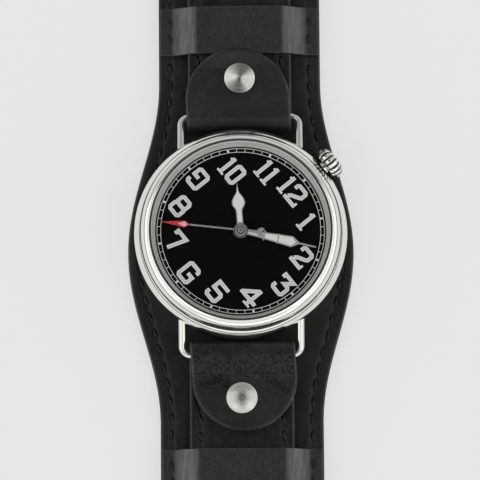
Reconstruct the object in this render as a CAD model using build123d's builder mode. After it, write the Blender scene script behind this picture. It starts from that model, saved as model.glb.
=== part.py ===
from build123d import *

import math
import os

os.makedirs("parts", exist_ok=True)

# Driving dimensions, all in millimetres and degrees

# Case, seen from the dial side: +Z is dial up, +Y points to the buckle end of the strap
case_diameter = 40.8
case_underside_inset = 2.4
case_shoulder_inset = 1.4
case_wall = 3.7
case_back_lip = 0.45
case_neck_wall = 0.6
dial_turn = 51.5

# Heights of the case, measured up from the case back's flat face
back_disc_height = 1.2
back_seat_gap = 0.02
case_waist_height = 4.8
case_shoulder_height = 7.5
case_neck_height = 0.67
movement_step_height = 3.73
bezel_height = 2.53
bezel_mid_height = 1.58
bezel_lip_width = 0.15
bezel_mid_inset = 0.25
crown_axis_height = 4.65

# Leather pad, strap and their stack on the table
pad_lining_thickness = 1.0
pad_top_thickness = 1.2
slide_gap = 0.05
strap_thickness = 2.0
strap_width = 20.0
strap_end_width = 18.0
pad_half_length = 58.0
pad_centre_offset = -2.8
pad_beyond_case = 1.3
pad_end_half_width = 15.6
pad_bulge_half_length = 33.0
pad_corner_radius = 8.0
pad_edge_radius = 0.5

# Pad bands that the strap is threaded through
band_width = 9.4
band_thickness = 0.7
band_side_gap = 0.5
band_foot_bend_radius = 1.6
band_top_past_stud = 5.2
band_bottom_past_stud = 9.4

# Lug wires
wire_diameter = 1.5
wire_half_span = 11.3
wire_bar_beyond_case = 2.7
wire_bend_radius = 1.7
wire_root_depth = 1.98
wire_hole_gap = 0.02
fold_gap = 0.1
wire_rise_share = 0.288

# Strap tabs and studs
tab_drop_length = 4.2
tab_top_past_stud = 5.9
tab_bottom_past_stud = 6.2
tab_tip_past_stud = 2.8
tab_tip_rise = 1.25
stud_top_past_wire = 7.4
stud_bottom_past_wire = 8.4
stud_head_radius = 2.95
stud_head_rim = 0.35
stud_head_dome = 0.75
stud_shank_radius = 1.2
stud_base_radius = 3.0
stud_base_thickness = 0.6
stud_spigot_radius = 0.6
stud_seat_gap = 0.06
stud_fit_gap = 0.03

# Strap lengths past the lug wires, and what is on their ends
buckle_side_length = 75.0
tail_side_length = 120.0
strap_ramp_past_pad = 4.7
strap_ramp_length = 10.0
tail_ramp_past_pad = 8.2
tail_ramp_length = 16.0
ramp_bend_share = 3.0
strap_taper_start = 52.0
strap_taper_length = 20.0
tail_tip_length = 9.0
tail_hole_count = 7
tail_hole_pitch = 7.0
tail_hole_radius = 0.9
tail_first_hole_from_tip = 24.0
keeper_wall = 1.0
keeper_width = 5.0
keeper_side_gap = 0.35
keeper_under_gap = 0.1
keeper_headroom = 2.4
keeper_corner_radius = 0.6
fixed_keeper_from_bar = 7.1
free_keeper_from_bar = 18.1

# Buckle
buckle_bar_radius = 0.7
buckle_bar_gap = 0.1
strap_eye_radius = 1.9
tongue_slot_width = 2.6
tongue_slot_length = 3.4
tongue_width = 1.7
tongue_thickness = 1.1
tongue_eye_radius = 1.35
tongue_overhang = 0.9
buckle_wire_radius = 0.95
buckle_side_gap = 0.45
buckle_length = 9.5
buckle_corner_radius = 3.0
buckle_eye_radius = 1.4
buckle_eye_gap = 0.05

# Crown and its tube, measured outward from the case's axis
crown_gap = 0.3
crown_length = 2.8
crown_outer_radius = 3.15
crown_rib_count = 18
crown_rib_radius = 0.52
crown_rib_reach = 2.66
crown_core_share = 0.9
crown_shoulder_radius = 2.55
crown_nose_radius = 2.15
crown_widest_share = 0.42
crown_dome = 0.3
crown_bore_radius = 1.7
crown_bore_depth = 1.35
crown_pull_travel = 1.2
tube_radius = 1.25
tube_bore_radius = 0.75
tube_beyond_case = 1.6
crown_gasket_length = 0.6
crown_gasket_inset = 0.25
stem_radius = 0.6
stem_inner_end = 8.0
stem_thread_depth = 0.6

# Bezel, crystal, inner ring and dial
bezel_neck_gap = 0.05
gasket_inset = 3.3
gasket_radial_gap = 0.02
crystal_edge_height = 0.7
crystal_dome_height = 0.85
crystal_thickness = 0.85
crystal_seat_width = 0.5
inner_ring_width = 0.8
inner_ring_top_width = 0.12
dial_edge_gap = 0.1
dial_thickness = 0.5
dial_hole_radius = 1.15
seat_gap = 0.02

# Case back
back_disc_inset = 2.8
back_collar_gap = 0.05
back_collar_wall = 0.8
back_collar_height = 1.0
back_notch_count = 6
back_notch_width = 2.4
back_notch_depth = 1.1
back_notch_height = 0.5
back_edge_chamfer = 0.3
back_gasket_inset = 3.5
back_gasket_width = 0.5
back_gasket_height = 0.43
back_gasket_gap = 0.05

# Movement
holder_inner_radius = 13.05
plate_radius = 13.0
plate_rim_width = 1.4
plate_height = 3.9
plate_floor_thickness = 1.5
plate_recess_depth = 0.9
plate_recess_radius = 6.15
stem_hole_radius = 0.8
bridge_thickness = 1.0
bridge_edge_inset = 0.3
bridge_split_gap = 0.3
bridge_split_y = 0.9
train_bridge_reach = 5.5
balance_cock_width = 3.4
pivot_radius = 0.2
pivot_gap = 0.03
pivot_depth = 0.35
arbor_radius = 0.25
wheel_thickness = 0.18
wheel_rim = 0.45
spoke_width = 0.35
tooth_tip_share = 0.16
tooth_root_share = 0.32
addendum_share = 0.85
dedendum_share = 1.15

# Teeth and tooth sizes
barrel_teeth = 72
barrel_module = 0.14
centre_pinion_teeth = 9
centre_teeth = 64
third_pinion_teeth = 8
third_teeth = 60
fourth_pinion_teeth = 8
train_distance = 3.9
fourth_teeth = 80
escape_pinion_teeth = 8
fourth_module = 0.085
escape_teeth = 15
escape_radius = 2.2
escape_tooth_depth = 0.45
cannon_teeth = 12
minute_teeth = 36
minute_pinion_teeth = 10
hour_teeth = 40
cannon_module = 0.14
winding_module = 0.2
crown_wheel_teeth = 30
ratchet_teeth = 36
winding_pinion_teeth = 13
sliding_pinion_share = 0.8
sliding_groove_share = 1 / 3
winding_gap_share = 3.0

# Places of the arbors round the dial's centre, in degrees from +X
barrel_angle = 96.7
third_angle = 330.0
escape_angle = 215.0
balance_angle = 265.0
minute_wheel_angle = 180.0
balance_distance = 8.8
crown_wheel_distance = 7.5
pallet_from_escape = 2.75

# Heights in the movement, measured down from the plate's underside
centre_wheel_drop = 0.5
centre_pinion_length = 0.65
barrel_drop = 0.55
barrel_height = 1.15
barrel_tooth_height = 0.4
balance_drop = 1.15
balance_rim_height = 0.4
escape_drop = 1.5
third_wheel_drop = 1.98
fourth_wheel_drop = 2.2
hairspring_drop = 1.85
train_pinion_length = 0.24
third_pinion_length = 0.32

# Balance, pallet fork and hairspring
balance_radius = 2.7
balance_rim_width = 0.55
balance_arm_width = 0.7
roller_radius = 0.5
roller_height = 0.2
fork_width = 0.3
fork_arm_span = 1.7
fork_mouth_gap = 0.3
fork_thickness = 0.2
hairspring_start_radius = 0.55
hairspring_pitch = 0.32
hairspring_half_turns = 10
hairspring_blade = 0.1
hairspring_height = 0.25

# Tubes that carry the hands, from the inside out
seconds_arbor_radius = 0.18
centre_tube_inner_radius = 0.23
centre_tube_radius = 0.45
cannon_inner_radius = 0.47
cannon_radius = 0.68
hour_tube_inner_radius = 0.72
hour_tube_radius = 1.0
hand_fit_gap = 0.02

# Hands
hand_thickness = 0.15
hand_lift = 0.4
hand_spacing = 0.2
hour_hub_radius = 1.4
hour_stalk_width = 1.2
hour_leaf_width = 2.5
hour_leaf_reach_share = 0.3436
hour_neck_reach_share = 0.2209
hour_length_share = 0.5767
hand_border = 0.22
hour_waist_share = 0.42
hour_waist_width_share = 1 / 3
hour_window_share = 1.3
hour_window_waist_share = 0.7
hand_window_end_share = 3.0
minute_bar_width_share = 0.3
minute_hub_radius = 1.15
minute_stalk_width = 0.95
minute_leaf_width = 2.1
minute_leaf_reach_share = 0.6135
minute_leaf_end_share = 0.7
minute_length_share = 0.9080
minute_needle_width = 0.28
minute_bar_reach_share = 0.2822
minute_second_bar_reach_share = 0.4479
hand_bar_width = 0.3
second_hub_radius = 0.8
second_length_share = 0.9448
second_needle_width = 0.3
second_arrow_start_share = 0.6104
second_arrow_widest_share = 0.6595
second_arrow_width = 1.3
second_tail_length_share = 0.2945
second_tail_width = 0.55
second_crescent_radius = 0.85
shown_hours = 10
shown_minutes = 8.62
shown_seconds = 37.5

overrun = 1.0
half_turn = 180.0
full_turn = 360.0
hours_on_dial = 12
minutes_on_dial = 60

# Sizes and places worked out from the driving dimensions

case_radius = case_diameter / 2
case_underside_radius = case_radius - case_underside_inset
case_shoulder_radius = case_radius - case_shoulder_inset
case_bore_radius = case_radius - case_wall
case_back_opening_radius = case_bore_radius - case_back_lip
back_disc_radius = case_radius - back_disc_inset
back_collar_outer_radius = case_back_opening_radius - back_collar_gap
back_gasket_inner_radius = case_radius - back_gasket_inset
gasket_inner_radius = case_radius - gasket_inset
inner_ring_opening_radius = gasket_inner_radius - inner_ring_width
dial_radius = case_bore_radius - dial_edge_gap
crown_start = case_radius + crown_gap
crown_end = crown_start + crown_length
tube_end = case_radius + tube_beyond_case
pad_middle_half_width = case_radius + pad_beyond_case

wire_bar_reach = case_radius + wire_bar_beyond_case
wire_root_reach = math.sqrt(case_radius**2 - wire_half_span**2) - wire_root_depth
stud_top_reach = wire_bar_reach + stud_top_past_wire
stud_bottom_reach = wire_bar_reach + stud_bottom_past_wire
tab_top_end = stud_top_reach + tab_top_past_stud
tab_bottom_end = stud_bottom_reach + tab_bottom_past_stud
tab_tip_start = stud_top_reach + tab_tip_past_stud
band_top_start = stud_top_reach + band_top_past_stud
band_bottom_start = stud_bottom_reach + band_bottom_past_stud
strap_ramp_start = pad_half_length + pad_centre_offset + strap_ramp_past_pad
tail_ramp_start = pad_half_length - pad_centre_offset + tail_ramp_past_pad

hand_field = inner_ring_opening_radius
hour_leaf_reach = hand_field * hour_leaf_reach_share
hour_neck_reach = hand_field * hour_neck_reach_share
hour_length = hand_field * hour_length_share
minute_leaf_reach = hand_field * minute_leaf_reach_share
minute_leaf_end = hand_field * minute_leaf_end_share
minute_length = hand_field * minute_length_share
minute_bar_reach = hand_field * minute_bar_reach_share
minute_second_bar_reach = hand_field * minute_second_bar_reach_share
second_length = hand_field * second_length_share
second_arrow_start = hand_field * second_arrow_start_share
second_arrow_widest = hand_field * second_arrow_widest_share
second_tail_length = hand_field * second_tail_length_share

strap_floor = pad_lining_thickness + pad_top_thickness + slide_gap
strap_top = strap_floor + strap_thickness
wire_radius = wire_diameter / 2
fold_inner_radius = wire_radius + fold_gap
fold_outer_radius = fold_inner_radius + strap_thickness
wire_bar_z = strap_top + fold_inner_radius

back_top = strap_floor + back_disc_height
case_bottom = back_top + back_seat_gap
case_waist_z = strap_floor + case_waist_height
shoulder_z = strap_floor + case_shoulder_height
step_z = strap_floor + movement_step_height
crown_axis_z = strap_floor + crown_axis_height
neck_radius = case_bore_radius + case_neck_wall
neck_top = shoulder_z + case_neck_height
bezel_inner_radius = neck_radius + bezel_neck_gap
bezel_bottom = shoulder_z + seat_gap
bezel_top = bezel_bottom + bezel_height

holder_bottom = step_z + seat_gap
plate_top = holder_bottom + plate_height
plate_underside = plate_top - plate_floor_thickness
recess_floor = plate_top - plate_recess_depth
bridge_top = holder_bottom - seat_gap
bridge_bottom = bridge_top - bridge_thickness
dial_bottom = plate_top + hand_spacing / 4
dial_top = dial_bottom + dial_thickness
holder_top = dial_bottom - seat_gap

hour_hand_z = dial_top + hand_lift
minute_hand_z = hour_hand_z + hand_thickness + hand_spacing
second_hand_z = minute_hand_z + hand_thickness + hand_spacing
crystal_underside = second_hand_z + hand_thickness + 2 * hand_spacing
crystal_radius = gasket_inner_radius - gasket_radial_gap
gasket_outer_radius = bezel_inner_radius - gasket_radial_gap
inner_ring_bottom = max(dial_top, neck_top) + seat_gap
inner_ring_top = crystal_underside - seat_gap

crown_angle = 90.0 - dial_turn
crown_direction = (math.cos(math.radians(crown_angle)), math.sin(math.radians(crown_angle)), 0)


def place(distance, angle):
    """The plan point at a distance from the dial's centre and an angle from +X."""
    turn = math.radians(angle)
    return (distance * math.cos(turn), distance * math.sin(turn))


def radial_plane(distance):
    """A sketch plane square to the crown's axis, at a distance from the case's axis."""
    x, y = place(distance, crown_angle)
    return Plane(origin=(x, y, crown_axis_z), x_dir=(0, 0, 1), z_dir=crown_direction)


def hand_plane(clock_angle, height):
    """A plane whose local X runs along a hand that shows clock_angle, clockwise from +Y."""
    turn = math.radians(clock_angle)
    return Plane(
        origin=(0, 0, height),
        x_dir=(math.sin(turn), math.cos(turn), 0),
        z_dir=(0, 0, 1),
    )


def save(piece, name):
    """Label a finished sub-part and write it as its own STEP file."""
    piece.part.label = name
    export_step(piece.part, f"parts/{name}.step")


# Leather pad: two layers with one waisted outline, bulging behind the case

pad_top_z = pad_lining_thickness + pad_top_thickness
bulge_point_count = 6


def pad_half_width(distance):
    """Half the pad's width at a distance along the strap from the pad's centre."""
    if abs(distance) >= pad_bulge_half_length:
        return pad_end_half_width
    swell = (1 + math.cos(math.pi * distance / pad_bulge_half_length)) / 2
    return pad_end_half_width + (pad_middle_half_width - pad_end_half_width) * swell


def pad_outline(plane):
    """The pad's plan as a sketch on a plane."""
    steps = range(-bulge_point_count, bulge_point_count + 1)
    reaches = [pad_bulge_half_length * step / bulge_point_count for step in steps]
    right = [(pad_half_width(reach), pad_centre_offset + reach) for reach in reaches]
    left = [(-x, y) for x, y in reversed(right)]
    top = pad_centre_offset + pad_half_length
    bottom = pad_centre_offset - pad_half_length
    with BuildSketch(plane) as outline:
        with BuildLine():
            Spline(*right, tangents=[(0, 1), (0, 1)])
            Polyline(
                right[-1], (pad_end_half_width, top), (-pad_end_half_width, top), left[0]
            )
            Spline(*left, tangents=[(0, -1), (0, -1)])
            Polyline(
                left[-1], (-pad_end_half_width, bottom), (pad_end_half_width, bottom), right[0]
            )
        make_face()
        corners = [v for v in outline.vertices() if v.Y > top - overrun or v.Y < bottom + overrun]
        fillet(corners, pad_corner_radius)
    return outline.sketch


with BuildPart() as pad_lining:
    extrude(pad_outline(Plane.XY), amount=pad_lining_thickness)
save(pad_lining, "pad_lining")

with BuildPart() as pad_top:
    extrude(pad_outline(Plane.XY.offset(pad_lining_thickness)), amount=pad_top_thickness)
    chamfer(pad_top.faces().sort_by(Axis.Z)[-1].edges(), pad_edge_radius)
save(pad_top, "pad_top")


def profile_on(plane, points, bends):
    """A closed outline on a plane, with chosen corners rounded."""
    with BuildSketch(plane) as profile:
        with BuildLine():
            Polyline(*points, close=True)
        make_face()
        for x, z, radius in bends:
            corner = profile.vertices().sort_by_distance((x, z, 0))[0]
            fillet(corner, radius)
    return profile.sketch


band_inner_half = strap_width / 2 + band_side_gap
band_under = strap_top + slide_gap
band_over = band_under + band_thickness
band_foot_top = pad_top_z + band_thickness
band_ramp = band_under - pad_top_z
band_edge = pad_end_half_width + overrun


def pad_band(near_end, name):
    """A leather bridge over the strap, glued down at the pad's two edges."""
    outer = band_inner_half + band_ramp
    points = [
        (-band_edge, pad_top_z), (-outer, pad_top_z), (-band_inner_half, band_under),
        (band_inner_half, band_under), (outer, pad_top_z), (band_edge, pad_top_z),
        (band_edge, band_foot_top), (outer + band_thickness / 2, band_foot_top),
        (band_inner_half + band_thickness / 2, band_over),
        (-band_inner_half - band_thickness / 2, band_over),
        (-outer - band_thickness / 2, band_foot_top), (-band_edge, band_foot_top),
    ]
    inner_bend = band_foot_bend_radius - band_thickness
    bends = []
    for side in (-1, 1):
        bends.append((side * outer, pad_top_z, band_foot_bend_radius))
        bends.append((side * band_inner_half, band_under, inner_bend))
        bends.append((side * (outer + band_thickness / 2), band_foot_top, inner_bend))
        bends.append((side * (band_inner_half + band_thickness / 2), band_over, band_foot_bend_radius))
    with BuildPart() as band:
        extrude(profile_on(Plane.XZ.offset(-near_end - band_width), points, bends), amount=band_width)
        extrude(pad_outline(Plane.XY), amount=strap_top + overrun * 2, mode=Mode.INTERSECT)
    save(band, name)


pad_band(band_top_start, "pad_band_top")
pad_band(-band_bottom_start - band_width, "pad_band_bottom")

# Case: a turned middle with a snap-on bezel above and a screwed back below


def ring(points, arcs=()):
    """Turn a closed outline of radius and height points; arcs bend chosen edges through a point."""
    with BuildSketch(Plane.XZ) as section_face:
        with BuildLine():
            for index, start in enumerate(points):
                end = points[(index + 1) % len(points)]
                bend = dict(arcs).get(index)
                if bend:
                    ThreePointArc(start, bend, end)
                else:
                    Line(start, end)
        make_face()
    with BuildPart() as turned:
        revolve(section_face.sketch, axis=Axis.Z)
    return turned.part


back_groove_inner = back_gasket_inner_radius - back_gasket_gap
back_groove_outer = back_gasket_inner_radius + back_gasket_width + back_gasket_gap
back_groove_top = case_bottom + back_gasket_height
case_points = [
    (case_back_opening_radius, case_bottom), (back_groove_inner, case_bottom),
    (back_groove_inner, back_groove_top), (back_groove_outer, back_groove_top),
    (back_groove_outer, case_bottom), (case_underside_radius, case_bottom),
    (case_radius, case_waist_z), (case_shoulder_radius, shoulder_z),
    (neck_radius, shoulder_z), (neck_radius, neck_top), (case_bore_radius, neck_top),
    (case_bore_radius, step_z), (case_back_opening_radius, step_z),
]


def waist_bend(radius, height):
    """The middle of an arc that leaves the case's waist upright and ends at a point."""
    inward = case_radius - radius
    rise = height - case_waist_z
    bend = (inward**2 + rise**2) / (2 * inward)
    turn = math.asin(abs(rise) / bend) / 2
    side = math.copysign(1, rise)
    return (case_radius - bend + bend * math.cos(turn), case_waist_z + side * bend * math.sin(turn))


case_arcs = [
    (5, waist_bend(case_underside_radius, case_bottom)),
    (6, waist_bend(case_shoulder_radius, shoulder_z)),
]
wire_root_z = wire_bar_z + (wire_bar_reach - wire_root_reach) * wire_rise_share


def lug_path(side):
    """The centre line of a lug wire: two sloping legs and the bar that the strap folds over."""
    root_y = side * wire_root_reach
    bar_y = side * wire_bar_reach
    with BuildLine() as path:
        FilletPolyline(
            (-wire_half_span, root_y, wire_root_z), (-wire_half_span, bar_y, wire_bar_z),
            (wire_half_span, bar_y, wire_bar_z), (wire_half_span, root_y, wire_root_z),
            radius=wire_bend_radius,
        )
    return path.line


def lug_wire(side, radius):
    """A round wire of a radius along a lug's path."""
    path = lug_path(side)
    with BuildPart() as wire:
        with BuildSketch(Plane(origin=path @ 0, z_dir=path % 0)):
            Circle(radius)
        sweep(path=path)
    return wire.part


with BuildPart() as case_middle:
    add(ring(case_points, case_arcs))
    with BuildSketch(radial_plane(0)):
        Circle(tube_radius + wire_hole_gap)
    extrude(amount=case_radius + overrun, mode=Mode.SUBTRACT)
    for side in (-1, 1):
        add(lug_wire(side, wire_radius + wire_hole_gap), mode=Mode.SUBTRACT)
save(case_middle, "case_middle")

for side, end_name in ((1, "top"), (-1, "bottom")):
    with BuildPart() as wire_lug:
        add(lug_wire(side, wire_radius))
    save(wire_lug, f"lug_wire_{end_name}")

with BuildPart() as bezel:
    bezel_lip_radius = bezel_inner_radius + bezel_lip_width
    add(ring(
        [
            (bezel_inner_radius, bezel_bottom), (case_shoulder_radius, bezel_bottom),
            (bezel_lip_radius, bezel_top), (bezel_inner_radius, bezel_top),
        ],
        [(1, (case_shoulder_radius - bezel_mid_inset, bezel_bottom + bezel_mid_height))],
    ))
save(bezel, "bezel")

with BuildPart() as crystal_gasket:
    add(ring([
        (gasket_inner_radius, inner_ring_bottom), (gasket_outer_radius, inner_ring_bottom),
        (gasket_outer_radius, bezel_top), (gasket_inner_radius, bezel_top),
    ]))
save(crystal_gasket, "crystal_gasket")

with BuildPart() as crystal:
    crystal_edge_top = crystal_underside + crystal_edge_height
    crystal_crown = crystal_edge_top + crystal_dome_height
    with BuildSketch(Plane.XZ):
        with BuildLine():
            Line((0, crystal_crown - crystal_thickness), (0, crystal_crown))
            TangentArc((0, crystal_crown), (crystal_radius, crystal_edge_top), tangent=(1, 0))
            Line((crystal_radius, crystal_edge_top), (crystal_radius, crystal_underside))
            inner_edge = (crystal_radius - crystal_seat_width, crystal_underside)
            Line((crystal_radius, crystal_underside), inner_edge)
            TangentArc((0, crystal_crown - crystal_thickness), inner_edge, tangent=(1, 0))
        make_face()
    revolve(axis=Axis.Z)
save(crystal, "crystal")

with BuildPart() as inner_ring:
    ring_outer_radius = gasket_inner_radius - gasket_radial_gap
    add(ring([
        (inner_ring_opening_radius, inner_ring_bottom), (ring_outer_radius, inner_ring_bottom),
        (ring_outer_radius, inner_ring_top), (ring_outer_radius - inner_ring_top_width, inner_ring_top),
    ]))
save(inner_ring, "inner_ring")

with BuildPart() as case_back:
    with BuildSketch(Plane.XY.offset(strap_floor)):
        Circle(back_disc_radius)
    extrude(amount=back_disc_height)
    chamfer(case_back.faces().sort_by(Axis.Z)[0].edges(), back_edge_chamfer)
    with BuildSketch(Plane.XY.offset(back_top)):
        Circle(back_collar_outer_radius)
        Circle(back_collar_outer_radius - back_collar_wall, mode=Mode.SUBTRACT)
    extrude(amount=back_collar_height)
    with BuildSketch(Plane.XY.offset(strap_floor)):
        with PolarLocations(back_disc_radius, back_notch_count):
            Rectangle(2 * back_notch_depth, back_notch_width)
    extrude(amount=back_notch_height, mode=Mode.SUBTRACT)
save(case_back, "case_back")

with BuildPart() as case_back_gasket:
    with BuildSketch(Plane.XY.offset(back_top + back_seat_gap / 2)):
        Circle(back_gasket_inner_radius + back_gasket_width)
        Circle(back_gasket_inner_radius, mode=Mode.SUBTRACT)
    extrude(amount=back_gasket_height - back_seat_gap)
save(case_back_gasket, "case_back_gasket")

with BuildPart() as movement_holder:
    with BuildSketch(Plane.XY.offset(holder_bottom)):
        Circle(case_bore_radius - seat_gap * 2)
        Circle(holder_inner_radius, mode=Mode.SUBTRACT)
    extrude(amount=holder_top - holder_bottom)
    with BuildSketch(radial_plane(0)):
        Circle(stem_hole_radius)
    extrude(amount=case_radius, mode=Mode.SUBTRACT)
save(movement_holder, "movement_holder")

with BuildPart() as dial:
    with BuildSketch(Plane.XY.offset(dial_bottom)):
        Circle(dial_radius)
        Circle(dial_hole_radius, mode=Mode.SUBTRACT)
    extrude(amount=dial_thickness)
save(dial, "dial")

# Crown, its tube and the winding stem, all along the crown's axis

with BuildPart() as crown_tube:
    with BuildSketch(radial_plane(case_bore_radius + wire_hole_gap)):
        Circle(tube_radius)
        Circle(tube_bore_radius, mode=Mode.SUBTRACT)
    extrude(amount=tube_end - case_bore_radius - wire_hole_gap)
save(crown_tube, "crown_tube")

crown_x, crown_y = place(1, crown_angle)
crown_profile_plane = Plane(
    origin=(0, 0, crown_axis_z), x_dir=crown_direction, z_dir=(crown_y, -crown_x, 0)
)
crown_axis = Axis((0, 0, crown_axis_z), crown_direction)
crown_widest = crown_start + crown_length * crown_widest_share

with BuildPart() as crown:
    with BuildSketch(crown_profile_plane):
        with BuildLine():
            Line((crown_start, 0), (crown_start, crown_shoulder_radius))
            ThreePointArc(
                (crown_start, crown_shoulder_radius), (crown_widest, crown_outer_radius),
                (crown_end - crown_dome, crown_nose_radius),
            )
            TangentArc((crown_end, 0), (crown_end - crown_dome, crown_nose_radius), tangent=(0, 1))
            Line((crown_end, 0), (crown_start, 0))
        make_face()
    revolve(axis=crown_axis)
    with BuildSketch(radial_plane(crown_start - crown_rib_radius)):
        with PolarLocations(crown_rib_reach, crown_rib_count):
            Circle(crown_rib_radius)
        Circle(crown_rib_reach * crown_core_share + crown_rib_radius / 2)
    extrude(amount=crown_length + overrun, mode=Mode.INTERSECT)
    with BuildSketch(radial_plane(crown_start)):
        Circle(crown_bore_radius)
    extrude(amount=crown_bore_depth, mode=Mode.SUBTRACT)
    with BuildSketch(radial_plane(crown_start + crown_bore_depth)):
        Circle(stem_radius + wire_hole_gap)
    extrude(amount=stem_thread_depth, mode=Mode.SUBTRACT)
save(crown, "crown")

with BuildPart() as crown_gasket:
    with BuildSketch(radial_plane(crown_start + crown_gasket_inset)):
        Circle(crown_bore_radius - gasket_radial_gap)
        Circle(tube_radius + pivot_gap, mode=Mode.SUBTRACT)
    extrude(amount=crown_gasket_length)
save(crown_gasket, "crown_gasket")

with BuildPart() as winding_stem:
    with BuildSketch(radial_plane(stem_inner_end)):
        Circle(stem_radius)
    stem_end = crown_start + crown_bore_depth + stem_thread_depth - seat_gap
    extrude(amount=stem_end - stem_inner_end)
save(winding_stem, "winding_stem")

# Strap: two pieces of leather, each folded over a lug wire and held by a stud

tab_top_z = strap_top + strap_thickness
buckle_floor = keeper_wall + 2 * keeper_under_gap
buckle_bar_reach = wire_bar_reach + buckle_side_length
buckle_bar_z = buckle_floor + strap_thickness / 2
tail_end_reach = wire_bar_reach + tail_side_length


def strap_plane(side):
    """A plane square to X whose local X runs outward along the strap on one side."""
    return Plane(origin=(0, 0, 0), x_dir=(0, side, 0), z_dir=(side, 0, 0))


def strap_plan(side, end_reach, rounded):
    """The plan of a strap piece: full width at the case, narrower at its end."""
    tip_start = end_reach - tail_tip_length
    taper_end = strap_taper_start + strap_taper_length
    half = strap_width / 2
    end_half = strap_end_width / 2
    inner_reach = wire_bar_reach - fold_outer_radius - overrun
    with BuildSketch() as plan:
        with BuildLine():
            Polyline(
                (end_half, side * tip_start), (end_half, side * taper_end),
                (half, side * strap_taper_start), (half, side * inner_reach),
                (-half, side * inner_reach), (-half, side * strap_taper_start),
                (-end_half, side * taper_end), (-end_half, side * tip_start),
            )
            if rounded:
                ThreePointArc(
                    (-end_half, side * tip_start), (0, side * end_reach),
                    (end_half, side * tip_start),
                )
            else:
                Polyline(
                    (-end_half, side * tip_start), (-end_half, side * end_reach),
                    (end_half, side * end_reach), (end_half, side * tip_start),
                )
        make_face()
    return plan.sketch


def strap_tab(side, end_reach, tip_rise):
    """The folded end that lies on the strap, with its rounded tip."""
    under_bar = wire_bar_z + fold_inner_radius
    flat_start = wire_bar_reach + tab_drop_length
    points = [
        (wire_bar_reach, under_bar), (flat_start, strap_top), (tab_tip_start, strap_top),
        (end_reach, strap_top + tip_rise), (end_reach, tab_top_z + tip_rise),
        (tab_tip_start, tab_top_z), (flat_start, tab_top_z),
        (wire_bar_reach, under_bar + strap_thickness),
    ]
    bends = [
        (flat_start, strap_top, strap_thickness),
        (flat_start, tab_top_z, strap_thickness),
    ]
    half = strap_width / 2
    with BuildPart() as tab:
        extrude(profile_on(strap_plane(side), points, bends), amount=half, both=True)
        with BuildSketch():
            with Locations((0, side * (end_reach - half))):
                Circle(half)
            with Locations((0, side * (end_reach - half + wire_bar_reach) / 2)):
                Rectangle(strap_width, end_reach - half - wire_bar_reach)
        extrude(amount=tab_top_z + strap_thickness * 2, mode=Mode.INTERSECT)
    return tab.part


def strap_leg(side, end_reach, end_floor, ramp_start, ramp_length):
    """The long lower layer of a strap piece, with the fold round the lug wire."""
    ramp_end = ramp_start + ramp_length
    end_top = end_floor + strap_thickness
    points = [
        (wire_bar_reach, strap_floor), (ramp_start, strap_floor), (ramp_end, end_floor),
        (end_reach, end_floor), (end_reach, end_top), (ramp_end, end_top),
        (ramp_start, strap_top), (wire_bar_reach, strap_top),
    ]
    bend = ramp_bend_share * ramp_length
    bends = [
        (ramp_start, strap_floor, bend), (ramp_end, end_floor, bend),
        (ramp_end, end_top, bend), (ramp_start, strap_top, bend),
    ]
    half = strap_width / 2
    fold_centre = (wire_bar_reach, wire_bar_z)
    with BuildPart() as leg:
        extrude(profile_on(strap_plane(side), points, bends), amount=half, both=True)
        with BuildSketch(strap_plane(side)):
            with Locations(fold_centre):
                Circle(fold_outer_radius)
                Circle(fold_inner_radius, mode=Mode.SUBTRACT)
            with Locations((wire_bar_reach + fold_outer_radius, wire_bar_z)):
                Rectangle(2 * fold_outer_radius, 2 * fold_outer_radius, mode=Mode.SUBTRACT)
        extrude(amount=half, both=True)
    return leg.part


def stud_hole(side, reach):
    """What a stud needs cut from the leather: its shank's hole and a recess for its base."""
    with BuildPart() as hole:
        with BuildSketch(Plane.XY.offset(strap_floor - overrun)):
            with Locations((0, side * reach)):
                Circle(stud_shank_radius + stud_fit_gap)
        extrude(amount=tab_top_z - strap_floor + 2 * overrun)
        with BuildSketch(Plane.XY.offset(strap_floor - overrun)):
            with Locations((0, side * reach)):
                Circle(stud_base_radius + stud_fit_gap)
        extrude(amount=overrun + stud_base_thickness + 2 * stud_fit_gap)
    return hole.part


with BuildPart() as strap_buckle_side:
    buckle_strap_end = buckle_bar_reach + strap_eye_radius
    add(strap_leg(1, buckle_bar_reach, buckle_floor, strap_ramp_start, strap_ramp_length))
    with BuildSketch(strap_plane(1)):
        with Locations((buckle_bar_reach, buckle_bar_z)):
            Circle(strap_eye_radius)
    extrude(amount=strap_end_width / 2, both=True)
    extrude(strap_plan(1, buckle_strap_end, False), amount=tab_top_z * 2, mode=Mode.INTERSECT)
    add(strap_tab(1, tab_top_end, tab_tip_rise))
    add(stud_hole(1, stud_top_reach), mode=Mode.SUBTRACT)
    with BuildSketch(strap_plane(1)):
        with Locations((buckle_bar_reach, buckle_bar_z)):
            Circle(buckle_bar_radius + buckle_bar_gap)
    extrude(amount=strap_width, both=True, mode=Mode.SUBTRACT)
    with BuildSketch():
        with Locations((0, buckle_bar_reach)):
            SlotOverall(2 * tongue_slot_length, tongue_slot_width, rotation=90)
    extrude(amount=tab_top_z, mode=Mode.SUBTRACT)
save(strap_buckle_side, "strap_buckle_side")

with BuildPart() as strap_tail_side:
    add(strap_leg(-1, tail_end_reach, 0, tail_ramp_start, tail_ramp_length))
    extrude(strap_plan(-1, tail_end_reach, True), amount=tab_top_z * 2, mode=Mode.INTERSECT)
    add(strap_tab(-1, tab_bottom_end, 0))
    add(stud_hole(-1, stud_bottom_reach), mode=Mode.SUBTRACT)
    with BuildSketch():
        for index in range(tail_hole_count):
            hole_reach = tail_end_reach - tail_first_hole_from_tip - index * tail_hole_pitch
            with Locations((0, -hole_reach)):
                Circle(tail_hole_radius)
    extrude(amount=strap_top, mode=Mode.SUBTRACT)
save(strap_tail_side, "strap_tail_side")

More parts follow.
